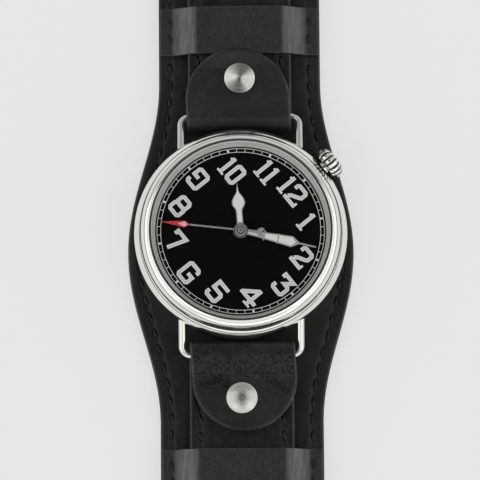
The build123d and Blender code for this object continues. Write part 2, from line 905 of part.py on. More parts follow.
stud_base_z = strap_floor + stud_fit_gap
stud_shank_bottom = stud_base_z + stud_base_thickness + seat_gap


def stud(side, reach, domed, name):
    """A screw stud: a low head on the tab, and the shank that pins both layers."""
    head_bottom = tab_top_z + stud_seat_gap
    rim_top = head_bottom + stud_head_rim
    head_top = rim_top + stud_head_dome
    with BuildPart() as piece:
        with BuildSketch(Plane(origin=(0, side * reach, 0), x_dir=(1, 0, 0), z_dir=(0, -1, 0))):
            with BuildLine():
                Polyline((0, head_top), (0, head_bottom), (stud_head_radius, head_bottom),
                         (stud_head_radius, rim_top))
                if domed:
                    TangentArc((0, head_top), (stud_head_radius, rim_top), tangent=(1, 0))
                else:
                    Line((stud_head_radius, rim_top), (0, head_top))
            make_face()
        revolve(axis=Axis((0, side * reach, 0), (0, 0, 1)))
        with BuildSketch(Plane.XY.offset(stud_shank_bottom)):
            with Locations((0, side * reach)):
                Circle(stud_shank_radius)
        extrude(amount=head_bottom - stud_shank_bottom)
        with BuildSketch(Plane.XY.offset(stud_shank_bottom)):
            with Locations((0, side * reach)):
                Circle(stud_spigot_radius + stud_fit_gap)
        extrude(amount=strap_thickness, mode=Mode.SUBTRACT)
    save(piece, name)


def stud_base(side, reach, name):
    """The flat screw under the strap that a stud closes on."""
    with BuildPart() as piece:
        with BuildSketch(Plane.XY.offset(stud_base_z)):
            with Locations((0, side * reach)):
                Circle(stud_base_radius)
        extrude(amount=stud_base_thickness)
        with BuildSketch(Plane.XY.offset(stud_base_z + stud_base_thickness)):
            with Locations((0, side * reach)):
                Circle(stud_spigot_radius)
        extrude(amount=strap_thickness - stud_fit_gap)
    save(piece, name)


stud(1, stud_top_reach, False, "stud_top")
stud(-1, stud_bottom_reach, True, "stud_bottom")
stud_base(1, stud_top_reach, "stud_base_top")
stud_base(-1, stud_bottom_reach, "stud_base_bottom")

# Keepers: leather loops round the strap, one sewn in place and one free to slide


def keeper(reach, name):
    """A keeper with room above the strap for the tail."""
    inner_half = strap_end_width / 2 + keeper_side_gap
    inner_bottom = buckle_floor - keeper_under_gap
    inner_height = strap_thickness + keeper_under_gap + keeper_headroom
    middle_z = inner_bottom + inner_height / 2
    outer_corner = keeper_corner_radius + keeper_wall
    with BuildPart() as loop:
        with BuildSketch(Plane.XZ.offset(-reach - keeper_width / 2)):
            with Locations((0, middle_z)):
                outer_size = (2 * (inner_half + keeper_wall), inner_height + 2 * keeper_wall)
                RectangleRounded(*outer_size, outer_corner)
                RectangleRounded(2 * inner_half, inner_height, keeper_corner_radius, mode=Mode.SUBTRACT)
        extrude(amount=keeper_width)
    save(loop, name)


keeper(buckle_bar_reach - fixed_keeper_from_bar, "fixed_keeper")
keeper(buckle_bar_reach - free_keeper_from_bar, "free_keeper")

# Buckle: a bent wire frame and a tongue, both turning on one bar

buckle_half = strap_end_width / 2 + buckle_side_gap + buckle_wire_radius
buckle_front = buckle_bar_reach + buckle_length
buckle_axis_plane = Plane(
    origin=(0, buckle_bar_reach, buckle_bar_z), x_dir=(0, 1, 0), z_dir=(1, 0, 0)
)

with BuildPart() as buckle_bar:
    with BuildSketch(buckle_axis_plane):
        Circle(buckle_bar_radius)
    extrude(amount=buckle_half + buckle_wire_radius, both=True)
save(buckle_bar, "buckle_bar")

with BuildPart() as buckle_frame:
    with BuildLine() as frame_path:
        FilletPolyline(
            (-buckle_half, buckle_bar_reach, buckle_bar_z), (-buckle_half, buckle_front, buckle_bar_z),
            (buckle_half, buckle_front, buckle_bar_z), (buckle_half, buckle_bar_reach, buckle_bar_z),
            radius=buckle_corner_radius,
        )
    with BuildSketch(Plane(origin=frame_path.line @ 0, z_dir=frame_path.line % 0)):
        Circle(buckle_wire_radius)
    sweep(path=frame_path.line)
    for side in (-1, 1):
        with BuildSketch(buckle_axis_plane.offset(side * buckle_half)):
            Circle(buckle_eye_radius)
        extrude(amount=buckle_wire_radius, both=True)
    with BuildSketch(buckle_axis_plane):
        Circle(buckle_bar_radius + buckle_eye_gap)
    extrude(amount=strap_width, both=True, mode=Mode.SUBTRACT)
save(buckle_frame, "buckle_frame")

with BuildPart() as buckle_tongue:
    rest_height = buckle_wire_radius + buckle_eye_gap
    tongue_start = tongue_eye_radius - tongue_thickness
    bend_reach = buckle_length - buckle_wire_radius
    tongue_end = buckle_length + buckle_wire_radius + tongue_overhang
    with BuildSketch(buckle_axis_plane):
        Circle(tongue_eye_radius)
        with BuildLine():
            Polyline(
                (0, tongue_start), (bend_reach, rest_height), (tongue_end, rest_height),
                (tongue_end, rest_height + tongue_thickness / 2),
                (bend_reach, rest_height + tongue_thickness), (0, tongue_eye_radius), close=True,
            )
        make_face()
        Circle(buckle_bar_radius + buckle_eye_gap, mode=Mode.SUBTRACT)
    extrude(amount=tongue_width / 2, both=True)
save(buckle_tongue, "buckle_tongue")

# Movement: plate and bridges carry a hand-wound train with its seconds hand at the centre

centre_module = 2 * train_distance / (centre_teeth + third_pinion_teeth)
third_module = 2 * train_distance / (third_teeth + fourth_pinion_teeth)
barrel_distance = barrel_module * (barrel_teeth + centre_pinion_teeth) / 2
escape_distance = fourth_module * (fourth_teeth + escape_pinion_teeth) / 2
minute_distance = cannon_module * (cannon_teeth + minute_teeth) / 2
hour_module = 2 * minute_distance / (minute_pinion_teeth + hour_teeth)
winding_pinion_radius = winding_module * (winding_pinion_teeth / 2 + addendum_share)
crown_wheel_radius = winding_module * crown_wheel_teeth / 2

barrel_place = place(barrel_distance, barrel_angle)
third_place = place(train_distance, third_angle)
escape_place = place(escape_distance, escape_angle)
balance_place = place(balance_distance, balance_angle)
minute_place = place(minute_distance, minute_wheel_angle)
crown_wheel_place = place(crown_wheel_distance, crown_angle)
lever_length = math.dist(escape_place, balance_place)
pallet_share = pallet_from_escape / lever_length
pallet_place = (
    escape_place[0] + (balance_place[0] - escape_place[0]) * pallet_share,
    escape_place[1] + (balance_place[1] - escape_place[1]) * pallet_share,
)
lever_angle = math.degrees(math.atan2(
    balance_place[1] - escape_place[1], balance_place[0] - escape_place[0]
))
wheel_arbors = [third_place, escape_place, pallet_place, balance_place]


def tooth_points(teeth, module, phase=0.0):
    """The outline of a toothed wheel: four corners for each tooth."""
    tip = module * (teeth / 2 + addendum_share)
    root = module * (teeth / 2 - dedendum_share)
    pitch = full_turn / teeth
    points = []
    for index in range(teeth):
        middle = phase + index * pitch
        points.append(place(root, middle - tooth_root_share * pitch))
        points.append(place(tip, middle - tooth_tip_share * pitch))
        points.append(place(tip, middle + tooth_tip_share * pitch))
        points.append(place(root, middle + tooth_root_share * pitch))
    return points


def gear_face(centre, height, teeth, module, phase=0.0, spokes=0, bore=0.0):
    """A toothed face at a place and height, with spokes or a bore where it has them."""
    root = module * (teeth / 2 - dedendum_share)
    with BuildSketch(Plane(origin=(*centre, height))) as face:
        with BuildLine():
            Polyline(*tooth_points(teeth, module, phase), close=True)
        make_face()
        if spokes:
            Circle(root - wheel_rim, mode=Mode.SUBTRACT)
            Circle(2 * arbor_radius)
            with PolarLocations((root - wheel_rim / 2) / 2, spokes):
                Rectangle(root - wheel_rim / 2, spoke_width)
        if bore:
            Circle(bore, mode=Mode.SUBTRACT)
    return face.sketch


def shaft(centre, bottom, top, radius):
    """A round shaft between two heights."""
    with BuildPart() as rod:
        with BuildSketch(Plane(origin=(*centre, bottom))):
            Circle(radius)
        extrude(amount=top - bottom)
    return rod.part


pivot_bottom = bridge_top - pivot_depth
pivot_top = plate_underside + pivot_depth
arbor_bottom = bridge_top + seat_gap
arbor_top = plate_underside - seat_gap


def arbor(centre):
    """A wheel's arbor with a thinner pivot at each end."""
    with BuildPart() as rod:
        add(shaft(centre, arbor_bottom, arbor_top, arbor_radius))
        add(shaft(centre, pivot_bottom, pivot_top, pivot_radius))
    return rod.part


barrel_radius = barrel_module * (barrel_teeth / 2 - dedendum_share)
pocket_half_width = winding_pinion_radius + hand_spacing
crown_wheel_recess = crown_wheel_radius + winding_module + pivot_gap
crown_wheel_top = crown_axis_z - winding_pinion_radius - pivot_gap
ratchet_top = bridge_bottom - seat_gap * 2
ratchet_bottom = ratchet_top - 2 * wheel_thickness

with BuildPart() as main_plate:
    with BuildSketch(Plane.XY.offset(holder_bottom)):
        Circle(plate_radius)
    extrude(amount=plate_height)
    with BuildSketch(Plane.XY.offset(holder_bottom)):
        Circle(plate_radius - plate_rim_width)
    extrude(amount=plate_underside - holder_bottom, mode=Mode.SUBTRACT)
    with BuildSketch(Plane.XY.offset(recess_floor)):
        Circle(plate_recess_radius)
    extrude(amount=plate_recess_depth, mode=Mode.SUBTRACT)
    with BuildSketch(Plane.XY.offset(plate_underside)):
        Circle(centre_tube_radius + pivot_gap)
        with Locations(minute_place):
            Circle(pivot_radius + pivot_gap)
    extrude(amount=plate_floor_thickness, mode=Mode.SUBTRACT)
    with BuildSketch(Plane.XY.offset(plate_underside)):
        with Locations(*wheel_arbors, barrel_place):
            Circle(pivot_radius + pivot_gap)
    extrude(amount=pivot_depth + seat_gap, mode=Mode.SUBTRACT)
    with BuildSketch(radial_plane(0)):
        Circle(stem_hole_radius)
    extrude(amount=case_radius, mode=Mode.SUBTRACT)
save(main_plate, "main_plate")


def bridge(outline, holes, name, recess=False):
    """A bridge under the train: its outline trimmed to the plate, with its pivot holes."""
    with BuildPart() as piece:
        with BuildSketch(Plane.XY.offset(bridge_bottom)):
            Circle(plate_radius - bridge_edge_inset)
            add(outline, mode=Mode.INTERSECT)
        extrude(amount=bridge_thickness)
        with BuildSketch(Plane.XY.offset(bridge_bottom)):
            with Locations(*holes):
                Circle(pivot_radius + pivot_gap)
        extrude(amount=bridge_thickness, mode=Mode.SUBTRACT)
        if recess:
            with BuildSketch(Plane.XY.offset(bridge_bottom)):
                with Locations(crown_wheel_place):
                    Circle(crown_wheel_recess)
            extrude(amount=crown_wheel_top + seat_gap - bridge_bottom, mode=Mode.SUBTRACT)
            with BuildSketch(Plane.XY.offset(bridge_bottom)):
                with Locations(Location((*place(stem_inner_end + pocket_half_width, crown_angle), 0),
                                        (0, 0, crown_angle))):
                    Rectangle(2 * pocket_half_width + hand_spacing, 2 * pocket_half_width)
            extrude(amount=bridge_thickness, mode=Mode.SUBTRACT)
    save(piece, name)


train_half = train_bridge_reach / 2 + bridge_split_gap
with BuildSketch() as barrel_side:
    with Locations((0, bridge_split_y + plate_radius)):
        Rectangle(2 * plate_radius, 2 * plate_radius)
with BuildSketch() as train_side:
    with Locations((0, bridge_split_y - bridge_split_gap - train_half)):
        Rectangle(2 * plate_radius, 2 * train_half)
with BuildSketch() as cock_side:
    with Locations(Location((*balance_place, 0), (0, 0, balance_angle))):
        Circle(balance_cock_width / 2)
        with Locations((plate_radius / 2, 0)):
            Rectangle(plate_radius, balance_cock_width)
    with Locations((0, bridge_split_y - bridge_split_gap * 2 - 2 * train_half + plate_radius)):
        Rectangle(2 * plate_radius, 2 * plate_radius, mode=Mode.SUBTRACT)

bridge(barrel_side.sketch, [barrel_place], "barrel_bridge", recess=True)
bridge(train_side.sketch, [(0, 0), third_place, escape_place, pallet_place], "train_bridge")
bridge(cock_side.sketch, [balance_place], "balance_cock")

with BuildPart() as barrel:
    barrel_top = plate_underside - barrel_drop
    add(shaft(barrel_place, barrel_top - barrel_height, barrel_top, barrel_radius))
    tooth_bottom = barrel_top - barrel_tooth_height
    barrel_phase = barrel_angle + half_turn
    extrude(
        gear_face(barrel_place, tooth_bottom, barrel_teeth, barrel_module, barrel_phase),
        amount=barrel_tooth_height,
    )
    add(arbor(barrel_place))
save(barrel, "barrel")

winding_line = math.degrees(math.atan2(
    crown_wheel_place[1] - barrel_place[1], crown_wheel_place[0] - barrel_place[0]
))

with BuildPart() as ratchet_wheel:
    extrude(
        gear_face(barrel_place, ratchet_bottom, ratchet_teeth, winding_module, winding_line),
        amount=ratchet_top - ratchet_bottom,
    )
    add(shaft(barrel_place, ratchet_bottom, pivot_bottom - seat_gap, pivot_radius))
save(ratchet_wheel, "ratchet_wheel")

with BuildPart() as crown_wheel:
    crown_wheel_bottom = ratchet_bottom + seat_gap
    extrude(
        gear_face(crown_wheel_place, crown_wheel_bottom, crown_wheel_teeth, winding_module,
                  winding_line + half_turn + half_turn / crown_wheel_teeth),
        amount=crown_wheel_top - crown_wheel_bottom,
    )
save(crown_wheel, "crown_wheel")

with BuildPart() as center_wheel:
    centre_top = plate_underside - hand_spacing
    centre_bottom = plate_underside - centre_wheel_drop
    extrude(
        gear_face((0, 0), centre_bottom, centre_teeth, centre_module, third_angle, spokes=4),
        amount=centre_top - centre_bottom,
    )
    pinion_bottom = centre_bottom - centre_pinion_length
    extrude(
        gear_face((0, 0), pinion_bottom, centre_pinion_teeth, barrel_module,
                  barrel_angle + half_turn / centre_pinion_teeth),
        amount=centre_pinion_length,
    )
    add(shaft((0, 0), centre_bottom, minute_hand_z - hand_spacing, centre_tube_radius))
    add(shaft((0, 0), pinion_bottom, minute_hand_z, centre_tube_inner_radius), mode=Mode.SUBTRACT)
save(center_wheel, "center_wheel")

with BuildPart() as third_wheel:
    third_bottom = plate_underside - third_wheel_drop
    facing_centre = third_angle + half_turn
    extrude(
        gear_face(third_place, third_bottom, third_teeth, third_module, facing_centre, spokes=4),
        amount=wheel_thickness,
    )
    third_pinion_bottom = centre_bottom - wheel_thickness / 4
    extrude(
        gear_face(third_place, third_pinion_bottom, third_pinion_teeth, centre_module,
                  facing_centre + half_turn / third_pinion_teeth),
        amount=third_pinion_length,
    )
    add(arbor(third_place))
save(third_wheel, "third_wheel")

with BuildPart() as fourth_wheel:
    fourth_bottom = plate_underside - fourth_wheel_drop
    extrude(
        gear_face((0, 0), fourth_bottom, fourth_teeth, fourth_module, escape_angle, spokes=4),
        amount=wheel_thickness,
    )
    extrude(
        gear_face((0, 0), third_bottom - wheel_thickness / 4, fourth_pinion_teeth, third_module,
                  third_angle + half_turn / fourth_pinion_teeth),
        amount=train_pinion_length,
    )
    add(shaft((0, 0), pivot_bottom, second_hand_z + hand_thickness, seconds_arbor_radius))
save(fourth_wheel, "fourth_wheel")


def escape_points():
    """The outline of the escape wheel: slender teeth that lean the way it turns."""
    root = escape_radius - escape_tooth_depth
    pitch = full_turn / escape_teeth
    points = []
    for index in range(escape_teeth):
        start = index * pitch
        points.append(place(root, start))
        points.append(place(escape_radius, start + pitch * tooth_root_share))
        points.append(place(escape_radius, start + pitch * (tooth_root_share + tooth_tip_share / 2)))
        points.append(place(root, start + pitch * tooth_root_share))
    return points


with BuildPart() as escape_wheel:
    escape_bottom = plate_underside - escape_drop
    with BuildSketch(Plane(origin=(*escape_place, escape_bottom))):
        with BuildLine():
            Polyline(*escape_points(), close=True)
        make_face()
    extrude(amount=wheel_thickness)
    extrude(
        gear_face(escape_place, fourth_bottom - wheel_thickness / 4, escape_pinion_teeth, fourth_module,
                  escape_angle + half_turn + half_turn / escape_pinion_teeth),
        amount=train_pinion_length,
    )
    add(arbor(escape_place))
save(escape_wheel, "escape_wheel")

with BuildPart() as pallet_fork:
    fork_reach = lever_length - pallet_from_escape - roller_radius - fork_mouth_gap
    arm_inset = fork_width / 2 + pivot_gap
    arm_back = pallet_from_escape - escape_radius - arm_inset
    fork_plane = Plane(origin=(*pallet_place, escape_bottom)).rotated((0, 0, lever_angle))
    with BuildSketch(fork_plane):
        Circle(2 * arbor_radius)
        with Locations((fork_reach / 2, 0)):
            Rectangle(fork_reach, fork_width)
        with Locations((-arm_back + fork_width / 2, 0)):
            Rectangle(fork_width, 2 * fork_arm_span)
        with Locations((fork_reach, fork_mouth_gap), (fork_reach, -fork_mouth_gap)):
            Rectangle(2 * fork_width, fork_width)
        with Locations((fork_reach - fork_width, 0)):
            Rectangle(fork_width, 2 * fork_mouth_gap)
    extrude(amount=fork_thickness)
    add(arbor(pallet_place))
save(pallet_fork, "pallet_fork")

with BuildPart() as balance_wheel:
    balance_bottom = plate_underside - balance_drop
    with BuildSketch(Plane(origin=(*balance_place, balance_bottom))):
        Circle(balance_radius)
        Circle(balance_radius - balance_rim_width, mode=Mode.SUBTRACT)
        Rectangle(2 * balance_radius - balance_rim_width, balance_arm_width)
        Circle(balance_arm_width)
    extrude(amount=balance_rim_height)
    with BuildSketch(Plane(origin=(*balance_place, escape_bottom))):
        Circle(roller_radius)
    extrude(amount=roller_height)
    add(arbor(balance_place))
save(balance_wheel, "balance_wheel")

with BuildPart() as hairspring:
    with BuildSketch(Plane(origin=(*balance_place, plate_underside - hairspring_drop))):
        for index in range(hairspring_half_turns):
            start_side = 1 if index % 2 == 0 else -1
            radius = hairspring_start_radius + index * hairspring_pitch / 2
            middle = start_side * hairspring_pitch / 4
            with BuildLine() as coil:
                CenterArc((middle, 0), radius, 0 if start_side > 0 else half_turn, half_turn)
            trace(coil.line, line_width=hairspring_blade)
    extrude(amount=hairspring_height)
save(hairspring, "hairspring")

with BuildPart() as cannon_pinion:
    cannon_bottom = recess_floor + 2 * seat_gap
    extrude(
        gear_face((0, 0), cannon_bottom, cannon_teeth, cannon_module, minute_wheel_angle),
        amount=2 * wheel_thickness,
    )
    add(shaft((0, 0), cannon_bottom, minute_hand_z + hand_thickness, cannon_radius))
    add(shaft((0, 0), cannon_bottom, second_hand_z, cannon_inner_radius), mode=Mode.SUBTRACT)
save(cannon_pinion, "cannon_pinion")

with BuildPart() as minute_wheel:
    minute_bottom = cannon_bottom + wheel_thickness / 2
    minute_phase = minute_wheel_angle + half_turn + half_turn / minute_teeth
    extrude(
        gear_face(minute_place, minute_bottom, minute_teeth, cannon_module, minute_phase),
        amount=wheel_thickness,
    )
    hour_wheel_z = minute_bottom + wheel_thickness + hand_spacing
    extrude(
        gear_face(minute_place, minute_bottom + wheel_thickness, minute_pinion_teeth, hour_module,
                  minute_wheel_angle + half_turn),
        amount=hand_spacing + wheel_thickness,
    )
    minute_shaft_end = minute_bottom + wheel_thickness
    add(shaft(minute_place, plate_underside + pivot_depth, minute_shaft_end, pivot_radius))
save(minute_wheel, "minute_wheel")

with BuildPart() as hour_wheel:
    hour_phase = minute_wheel_angle + half_turn / hour_teeth
    hour_teeth_face = gear_face((0, 0), hour_wheel_z, hour_teeth, hour_module, hour_phase)
    extrude(hour_teeth_face, amount=wheel_thickness)
    add(shaft((0, 0), hour_wheel_z, hour_hand_z + hand_thickness, hour_tube_radius))
    add(shaft((0, 0), hour_wheel_z, second_hand_z, hour_tube_inner_radius), mode=Mode.SUBTRACT)
save(hour_wheel, "hour_wheel")

# Keyless works on the stem

with BuildPart() as winding_pinion:
    pinion_start = crown_wheel_distance + crown_wheel_radius - hand_spacing * winding_gap_share
    pinion_end = plate_radius - plate_rim_width - hand_spacing
    with BuildSketch(radial_plane(pinion_start)):
        with BuildLine():
            Polyline(*tooth_points(winding_pinion_teeth, winding_module), close=True)
        make_face()
        Circle(stem_radius + pivot_gap, mode=Mode.SUBTRACT)
    extrude(amount=pinion_end - pinion_start)
save(winding_pinion, "winding_pinion")

with BuildPart() as sliding_pinion:
    sliding_end = pinion_start - seat_gap
    sliding_start = stem_inner_end + crown_pull_travel / 2 + hand_spacing
    groove = (sliding_end - sliding_start) * sliding_groove_share
    with BuildSketch(radial_plane(sliding_start)):
        Circle(winding_pinion_radius * sliding_pinion_share)
        Circle(stem_radius + pivot_gap, mode=Mode.SUBTRACT)
    extrude(amount=sliding_end - sliding_start)
    with BuildSketch(radial_plane(sliding_start + groove)):
        Circle(winding_pinion_radius)
        Circle(stem_radius + wheel_rim, mode=Mode.SUBTRACT)
    extrude(amount=groove, mode=Mode.SUBTRACT)
save(sliding_pinion, "sliding_pinion")

# Hands, shown at the time in the named values

hour_angle = dial_turn + full_turn * (shown_hours + shown_minutes / minutes_on_dial) / hours_on_dial
minute_angle = dial_turn + full_turn * shown_minutes / minutes_on_dial
second_angle = dial_turn + full_turn * shown_seconds / minutes_on_dial


def leaf(points, curve_from=None):
    """A symmetrical outline from its upper edge's points, with a curve from one of them on."""
    last_corner = len(points) - 1 if curve_from is None else curve_from
    back = [(points[0][0], 0)] if points[0][1] else []
    with BuildSketch(mode=Mode.PRIVATE) as outline:
        with BuildLine():
            Polyline(*back, *points[:last_corner + 1])
            if last_corner < len(points) - 1:
                Spline(*points[last_corner:], tangents=[(1, 0), (1, -hand_border / 2)])
            mirror(about=Plane.XZ)
        make_face()
    return outline.sketch


hour_half_stalk = hour_stalk_width / 2
hour_half_leaf = hour_leaf_width / 2
hour_swell = hour_leaf_reach - hour_half_leaf / 2
hour_waist = hour_leaf_reach + (hour_length - hour_leaf_reach) * hour_waist_share
hour_half_waist = hour_stalk_width * hour_waist_width_share
minute_half_stalk = minute_stalk_width / 2
minute_half_leaf = minute_leaf_width / 2
minute_half_needle = minute_needle_width / 2
minute_half_bar = minute_leaf_width * minute_bar_width_share
window_end_gap = hand_border * hand_window_end_share
hour_outline = [
    (hour_hub_radius / 2, hour_half_stalk), (hour_neck_reach, hour_half_stalk),
    (hour_swell, hour_half_leaf - hand_border / 4), (hour_leaf_reach, hour_half_leaf),
    (hour_waist, hour_half_waist), (hour_length, 0),
]
hour_window = [
    (hour_hub_radius + hand_border, hour_half_stalk - hand_border),
    (hour_neck_reach, hour_half_stalk - hand_border),
    (hour_swell, hour_half_leaf - hand_border * hour_window_share),
    (hour_leaf_reach, hour_half_leaf - hand_border),
    (hour_waist, hour_half_waist - hand_border * hour_window_waist_share),
    (hour_length - window_end_gap, 0),
]
minute_outline = [
    (minute_hub_radius / 2, minute_half_stalk), (minute_bar_reach, minute_half_bar),
    (minute_leaf_reach, minute_half_leaf), (minute_leaf_end, minute_half_needle),
    (minute_length - minute_needle_width, minute_half_needle), (minute_length, 0),
]
minute_window = [
    (minute_hub_radius + hand_border, minute_half_stalk - hand_border),
    (minute_bar_reach, minute_half_bar - hand_border),
    (minute_leaf_reach, minute_half_leaf - hand_border),
    (minute_leaf_end - window_end_gap, 0),
]


def hand(plane, outline, hub_radius, bore, window=None, bars=()):
    """A flat hand with its hub, and a window that its light paint fills between bars."""
    with BuildPart() as piece:
        with BuildSketch(plane):
            add(outline)
            if window:
                add(window, mode=Mode.SUBTRACT)
                for reach in bars:
                    with Locations((reach, 0)):
                        Rectangle(hand_bar_width, minute_leaf_width - hand_border)
            Circle(hub_radius)
            Circle(bore, mode=Mode.SUBTRACT)
        extrude(amount=hand_thickness)
    return piece


def lume(plane, window, bars=()):
    """The light paint that fills a hand's window, split where bars cross it."""
    with BuildPart() as piece:
        with BuildSketch(plane):
            add(window)
            for reach in bars:
                with Locations((reach, 0)):
                    Rectangle(hand_bar_width, minute_leaf_width, mode=Mode.SUBTRACT)
        extrude(amount=hand_thickness)
    return piece


hour_plane = hand_plane(hour_angle, hour_hand_z)
minute_plane = hand_plane(minute_angle, minute_hand_z)
second_plane = hand_plane(second_angle, second_hand_z)
minute_bars = (minute_bar_reach, minute_second_bar_reach)

hour_face = leaf(hour_outline, curve_from=1)
hour_window_face = leaf(hour_window, curve_from=1)
hour_bore = hour_tube_radius + hand_fit_gap
save(hand(hour_plane, hour_face, hour_hub_radius, hour_bore, hour_window_face), "hour_hand")
save(lume(hour_plane, hour_window_face), "hour_hand_lume")

minute_face = leaf(minute_outline)
minute_window_face = leaf(minute_window)
minute_bore = cannon_radius + hand_fit_gap
save(
    hand(minute_plane, minute_face, minute_hub_radius, minute_bore, minute_window_face, minute_bars),
    "minute_hand",
)
save(lume(minute_plane, minute_window_face, minute_bars), "minute_hand_lume")

arrow_border = hand_border / 2
second_outline = [
    (-second_tail_length + second_crescent_radius, second_tail_width / 2),
    (0, second_needle_width / 2), (second_arrow_start, second_needle_width / 2),
    (second_arrow_widest, second_arrow_width / 2), (second_length, 0),
]
second_window = [
    (second_arrow_start + hand_border, 0),
    (second_arrow_widest, second_arrow_width / 2 - arrow_border),
    (second_arrow_widest + second_arrow_width, 0),
]
with BuildSketch() as second_face:
    add(leaf(second_outline))
    with Locations((-second_tail_length + second_crescent_radius, 0)):
        Circle(second_crescent_radius)
    with Locations((-second_tail_length, 0)):
        Circle(second_crescent_radius - hand_border, mode=Mode.SUBTRACT)
second_window_face = leaf(second_window)
second_bore = seconds_arbor_radius + hand_fit_gap
save(
    hand(second_plane, second_face.sketch, second_hub_radius, second_bore, second_window_face),
    "second_hand",
)
save(lume(second_plane, second_window_face), "second_hand_lume")
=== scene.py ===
# %% [markdown]
# # A pilot watch on a leather cuff strap
# The watch is a polished steel case with a black dial, on a black strap that is threaded through a
# wide leather pad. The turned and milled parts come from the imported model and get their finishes
# here. Leather, stitches, figures and the minute track are soft or printed, so they are made here
# as meshes in code, which come out the same on every run. Their places come from the model's own
# boxes, so that they land on the parts that carry them: a box is a node's lowest and highest
# corner, in metres.

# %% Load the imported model
import random
from math import cos, exp, hypot, inf, pi, radians, sin, sqrt

import bmesh
import bpy
from mathutils import Matrix, Vector


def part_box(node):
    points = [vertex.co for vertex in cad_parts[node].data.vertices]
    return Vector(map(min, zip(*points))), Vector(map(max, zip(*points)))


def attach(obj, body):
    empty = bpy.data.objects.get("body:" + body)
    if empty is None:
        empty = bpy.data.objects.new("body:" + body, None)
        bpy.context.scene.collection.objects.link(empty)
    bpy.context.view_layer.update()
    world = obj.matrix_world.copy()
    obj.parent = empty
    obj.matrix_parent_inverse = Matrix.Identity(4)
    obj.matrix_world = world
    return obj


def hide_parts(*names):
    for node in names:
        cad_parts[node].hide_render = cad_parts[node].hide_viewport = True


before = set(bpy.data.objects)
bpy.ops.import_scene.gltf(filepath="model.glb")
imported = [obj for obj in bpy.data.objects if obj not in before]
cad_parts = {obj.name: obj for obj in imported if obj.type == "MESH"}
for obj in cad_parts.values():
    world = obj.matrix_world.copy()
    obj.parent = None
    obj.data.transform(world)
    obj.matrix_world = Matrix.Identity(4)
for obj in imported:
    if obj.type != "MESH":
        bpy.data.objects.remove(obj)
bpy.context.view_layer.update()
mm = 0.001

# %% [markdown]
# The photo looks down on the dial from a long way off, tipped about nine degrees towards the lower
# strap. A long lens at 0.8 m keeps the watch as flat as it looks there. The dial's centre sits a
# little above the middle of the picture, and the strap leans half a degree, so the camera rolls.
# Blender's Standard view shows each colour about as it is written.

# %% Place the camera
camera_distance = 0.8
camera_elevation = radians(80.7)
camera_roll = radians(-0.45)
picture_width = 91.4 * mm
sensor_width = 36.0
dial_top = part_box("dial")[1].z
look_at = Vector((-0.15 * mm, -1.75 * mm, dial_top))


def new_object(name, data):
    thing = bpy.data.objects.new(name, data)
    bpy.context.collection.objects.link(thing)
    return thing


camera_data = bpy.data.cameras.new("photo_camera")
camera_data.sensor_width = sensor_width
camera_data.lens = sensor_width * camera_distance / picture_width
camera_data.clip_start = 0.01
camera = new_object("photo_camera", camera_data)
away = Vector((0, -cos(camera_elevation), sin(camera_elevation)))
facing = (-away).to_track_quat("-Z", "Y").to_matrix().to_4x4() @ Matrix.Rotation(camera_roll, 4, "Z")
camera.matrix_world = Matrix.Translation(look_at + away * camera_distance) @ facing
bpy.context.scene.camera = camera
bpy.context.scene.view_settings.view_transform = "Standard"
print("lens", round(camera_data.lens, 1), "mm, dial top at", round(dial_top / mm, 2), "mm")

# %% [markdown]
# A look in Blender is a small tree of nodes: each one makes or changes a value, and links carry it
# on to the next. The class below only saves typing. It adds a node, fills its sockets, hands back
# its output, and has the few moves that the looks here need.

# %% Make the helper for trees of nodes


class Nodes:
    """A tree of nodes and the few moves that every look in this file needs."""

    def __init__(self, tree):
        self.tree = tree

    def put(self, socket, value):
        """Links an output to a socket, or gives the socket a fixed value."""
        if isinstance(value, bpy.types.NodeSocket):
            self.tree.links.new(value, socket)
        else:
            socket.default_value = value

    def add(self, kind, *values, **settings):
        """Adds a shader node. Loose values fill its sockets in order, named ones a socket or a setting."""
        node = self.tree.nodes.new("ShaderNode" + kind)
        for key, value in settings.items():
            if key in node.inputs:
                self.put(node.inputs[key], value)
            else:
                setattr(node, key, value)
        for socket, value in zip(node.inputs, values):
            self.put(socket, value)
        return node

    def place(self, stretch=(1, 1, 1), **moved):
        """Places on the surface in metres, stretched, moved or turned."""
        where = self.add("TexCoord").outputs["Object"]
        return self.add("Mapping", where, Scale=stretch, **moved).outputs["Vector"]

    def parts(self, vector):
        """The X, Y and Z of a vector, as outputs."""
        return self.add("SeparateXYZ", vector).outputs

    def reach(self, vector):
        return self.add("VectorMath", vector, operation="LENGTH").outputs["Value"]

    def math(self, operation, *values):
        return self.add("Math", *values, operation=operation).outputs["Value"]

    def noise(self, size, detail=4.0, stretch=(1, 1, 1), roughness=0.5):
        """Soft random spots whose size is about one length in metres."""
        node = self.add("TexNoise", self.place(stretch), Scale=1 / size, Detail=detail,
                        Roughness=roughness)
        return node.outputs["Fac"]

    def spread(self, value, low, high, start=0.0, end=1.0):
        """A value between two others, as a texture goes from start to end."""
        return self.add("MapRange", value, start, end, low, high).outputs["Result"]

    def blend(self, value, first, second, start=0.0, end=1.0):
        """Goes from one colour to another as a texture goes from start to end."""
        node = self.add("ValToRGB", value)
        for stop, position, color in zip(node.color_ramp.elements, (start, end), (first, second)):
            stop.position = position
            stop.color = (*color, 1)
        return node.outputs["Color"]

    def mix(self, share, first, second):
        """A colour output that turns into a fixed colour as a share goes from 0 to 1."""
        node = self.add("Mix", share, data_type="RGBA")
        self.put(node.inputs[6], first)
        self.put(node.inputs[7], (*second, 1))
        return node.outputs[2]


# %% [markdown]
# A material here is one Principled shader. What is the same all over is set on its sockets. What
# varies, such as grain or wear, is a texture that feeds colour, roughness or bump. Bump shades the
# surface as if it were pressed in, and leaves the mesh as it is. Many finishes are one fine grain
# that colour, gloss and bump all follow, so a function makes those.

# %% Make the helpers for a finish


